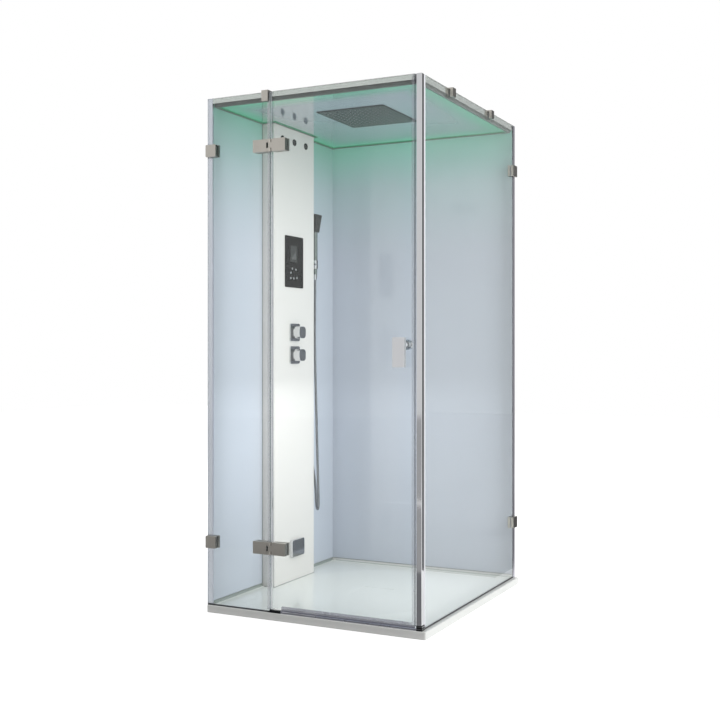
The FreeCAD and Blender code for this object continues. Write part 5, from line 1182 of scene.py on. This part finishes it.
# ---------------- stage
class CABIN_OT_stage(bpy.types.Operator):
    """Set the floor, the soft lamps, the reflecting cards and the camera"""

    bl_idname = "cabin.stage"
    bl_label = "Stage"

    DAYLIGHT = 0.5
    FLOOR_LIFT = 0.62
    MIRRORED_LIFT = 0.35
    FLOOR_HALF = 12.0
    LAMPS = (       # name, place, target, width and height, watts
        ("key", (4.2, -0.2, 2.6), (0.0, 0.0, 1.0), (3.0, 3.0), 120.0),
        ("back", (-2.6, 4.4, 2.6), (0.0, 0.0, 1.0), (3.0, 3.0), 45.0),
        ("inner_side", (0.43, 0.0, 1.05), (-0.48, 0.02, 1.05), (0.8, 1.9), 3.15),
        ("inner_front", (0.05, -0.46, 1.20), (0.05, 0.48, 1.20), (0.8, 1.6), 3.4),
        ("inner_low", (0.05, -0.1, 0.95), (0.05, -0.1, 0.0), (0.7, 0.7), 1.7),
    )
    UPRIGHT_CARDS = (       # name, two plan points, lowest, highest, level on a screen
        ("card_front", (-2.9, -2.6), (-0.4, -3.9), 0.6, 3.6, 226),
        ("card_front_low", (-2.9, -2.6), (-0.4, -3.9), 0.0, 0.6, 176),
        ("card_side", (1.1, 3.0), (2.6, 3.0), 0.0, 3.6, 128),
    )
    FLAT_CARD_Z = 0.002
    FLAT_CARDS = (          # name, two opposite plan points, colour on a screen
        ("card_floor", (-2.6, -3.4), (0.6, -1.5), (170, 170, 170)),
        ("card_floor_near", (-1.4, -1.5), (0.6, -0.53), (120, 120, 122)),
        ("card_floor_side", (0.6, 0.56), (2.6, 3.0), (128, 128, 130)),
    )

    def plane(self, name, corners):
        """A flat piece of the stage with the material of its own name."""
        mesh = bpy.data.meshes.new(name)
        mesh.from_pydata(corners, [], [(0, 1, 2, 3)])
        mesh.materials.append(material(name))
        obj = link(bpy.data.objects.new(name, mesh))
        return obj

    def seen_directly(self, tree):
        """One for camera, glossy and transmission rays, which see the plain background."""
        rays = node(tree, "LightPath")
        first = calc(tree, "MAXIMUM", rays.outputs["Is Camera Ray"], rays.outputs["Is Glossy Ray"])
        any_of = calc(tree, "MAXIMUM", first, rays.outputs["Is Transmission Ray"])
        direct = calc(tree, "LESS_THAN", rays.outputs["Diffuse Depth"], 0.5)
        return calc(tree, "MULTIPLY", any_of, direct)

    def floor(self):
        tree, out = new_material("stage_floor")
        shader = node(tree, "BsdfPrincipled", {
            "Base Color": (0.86, 0.86, 0.86, 1.0), "Roughness": 0.9})
        glossy = node(tree, "LightPath").outputs["Is Glossy Ray"]
        level = ramp(tree, glossy, 0.0, 1.0, self.FLOOR_LIFT, self.MIRRORED_LIFT)
        lift = calc(tree, "MULTIPLY", self.seen_directly(tree), level)
        glow = node(tree, "Emission", {"Strength": lift})
        total = node(tree, "AddShader", {0: shader.outputs[0], 1: glow.outputs[0]})
        tree.links.new(total.outputs[0], out)
        half = self.FLOOR_HALF
        self.plane("stage_floor", [(-half, -half, 0), (half, -half, 0), (half, half, 0),
                                   (-half, half, 0)])

    def world(self):
        world = bpy.data.worlds.new("stage_world")
        world.use_nodes = True
        tree = world.node_tree
        tree.nodes.clear()
        level = ramp(tree, self.seen_directly(tree), 0.0, 1.0, self.DAYLIGHT, 1.0)
        light = node(tree, "Background", {"Color": (1, 1, 1, 1), "Strength": level})
        out = tree.nodes.new("ShaderNodeOutputWorld")
        tree.links.new(light.outputs[0], out.inputs["Surface"])
        bpy.context.scene.world = world

    def card(self, name, corners, level):
        """A grey card that only reflections see."""
        tree, out = new_material(name)
        glow = node(tree, "Emission", {"Color": opaque(screen(*level)), "Strength": 1.0})
        tree.links.new(glow.outputs[0], out)
        obj = self.plane(name, corners)
        for kind in ("camera", "diffuse", "transmission", "shadow"):
            setattr(obj, "visible_" + kind, False)

    def lamp(self, name, place, target, size, power):
        light = bpy.data.lights.new(name, "AREA")
        light.shape = "RECTANGLE"
        light.size, light.size_y = size
        light.energy = power
        obj = link(bpy.data.objects.new(name, light))
        turn = (Vector(target) - Vector(place)).to_track_quat("-Z", "Y")
        obj.matrix_world = Matrix.Translation(Vector(place)) @ turn.to_matrix().to_4x4()
        for kind in ("camera", "glossy", "transmission"):
            setattr(obj, "visible_" + kind, False)

    def camera(self):
        data = bpy.data.cameras.new("camera")
        data.sensor_width = CAMERA_SENSOR
        data.lens = CAMERA_LENS
        data.shift_x, data.shift_y = CAMERA_SHIFT
        data.clip_end = 100.0
        obj = link(bpy.data.objects.new("camera", data))
        obj.location = CAMERA_PLACE
        obj.rotation_euler = (math.pi / 2, 0.0, CAMERA_TURN)
        bpy.context.scene.camera = obj

    def execute(self, context):
        bpy.context.scene.view_settings.view_transform = "Standard"
        self.floor()
        self.world()
        for lamp in self.LAMPS:
            self.lamp(*lamp)
        for name, first, second, low, high, level in self.UPRIGHT_CARDS:
            self.card(name, [(*first, low), (*second, low), (*second, high), (*first, high)],
                      (level, level, level))
        for name, (x0, y0), (x1, y1), level in self.FLAT_CARDS:
            self.card(name, [(x, y, self.FLAT_CARD_Z) for x, y in (
                (x0, y0), (x1, y0), (x1, y1), (x0, y1))], level)
        self.camera()
        return {"FINISHED"}


class CABIN_PT_panel(bpy.types.Panel):
    """The cabin's operators, sizes and colours"""

    bl_label = "Steam Shower Cabin"
    bl_idname = "CABIN_PT_panel"
    bl_space_type = "VIEW_3D"
    bl_region_type = "UI"
    bl_category = "Cabin"

    def draw(self, context):
        layout = self.layout
        for group in (context.scene.cabin_sizes, context.scene.cabin_colours):
            box = layout.box()
            for key in group.bl_rna.properties.keys():
                if key not in ("rna_type", "name"):
                    box.prop(group, key)
        for operator in OPERATORS:
            layout.operator(operator.bl_idname)


OPERATORS = (
    CABIN_OT_finishes, CABIN_OT_glass, CABIN_OT_hose, CABIN_OT_screws, CABIN_OT_rain_head,
    CABIN_OT_light_strip, CABIN_OT_sealant, CABIN_OT_control_panel, CABIN_OT_handset,
    CABIN_OT_knob_marks, CABIN_OT_stage,
)
CLASSES = (CabinSizes, CabinColours, *OPERATORS, CABIN_PT_panel)


def register():
    for each in CLASSES:
        bpy.utils.register_class(each)
    bpy.types.Scene.cabin_sizes = bpy.props.PointerProperty(type=CabinSizes)
    bpy.types.Scene.cabin_colours = bpy.props.PointerProperty(type=CabinColours)


def unregister():
    del bpy.types.Scene.cabin_colours
    del bpy.types.Scene.cabin_sizes
    for each in reversed(CLASSES):
        bpy.utils.unregister_class(each)


def main():
    register()
    for operator in OPERATORS:
        group, name = operator.bl_idname.split(".")
        getattr(getattr(bpy.ops, group), name)()


if __name__ == "__main__":
    main()
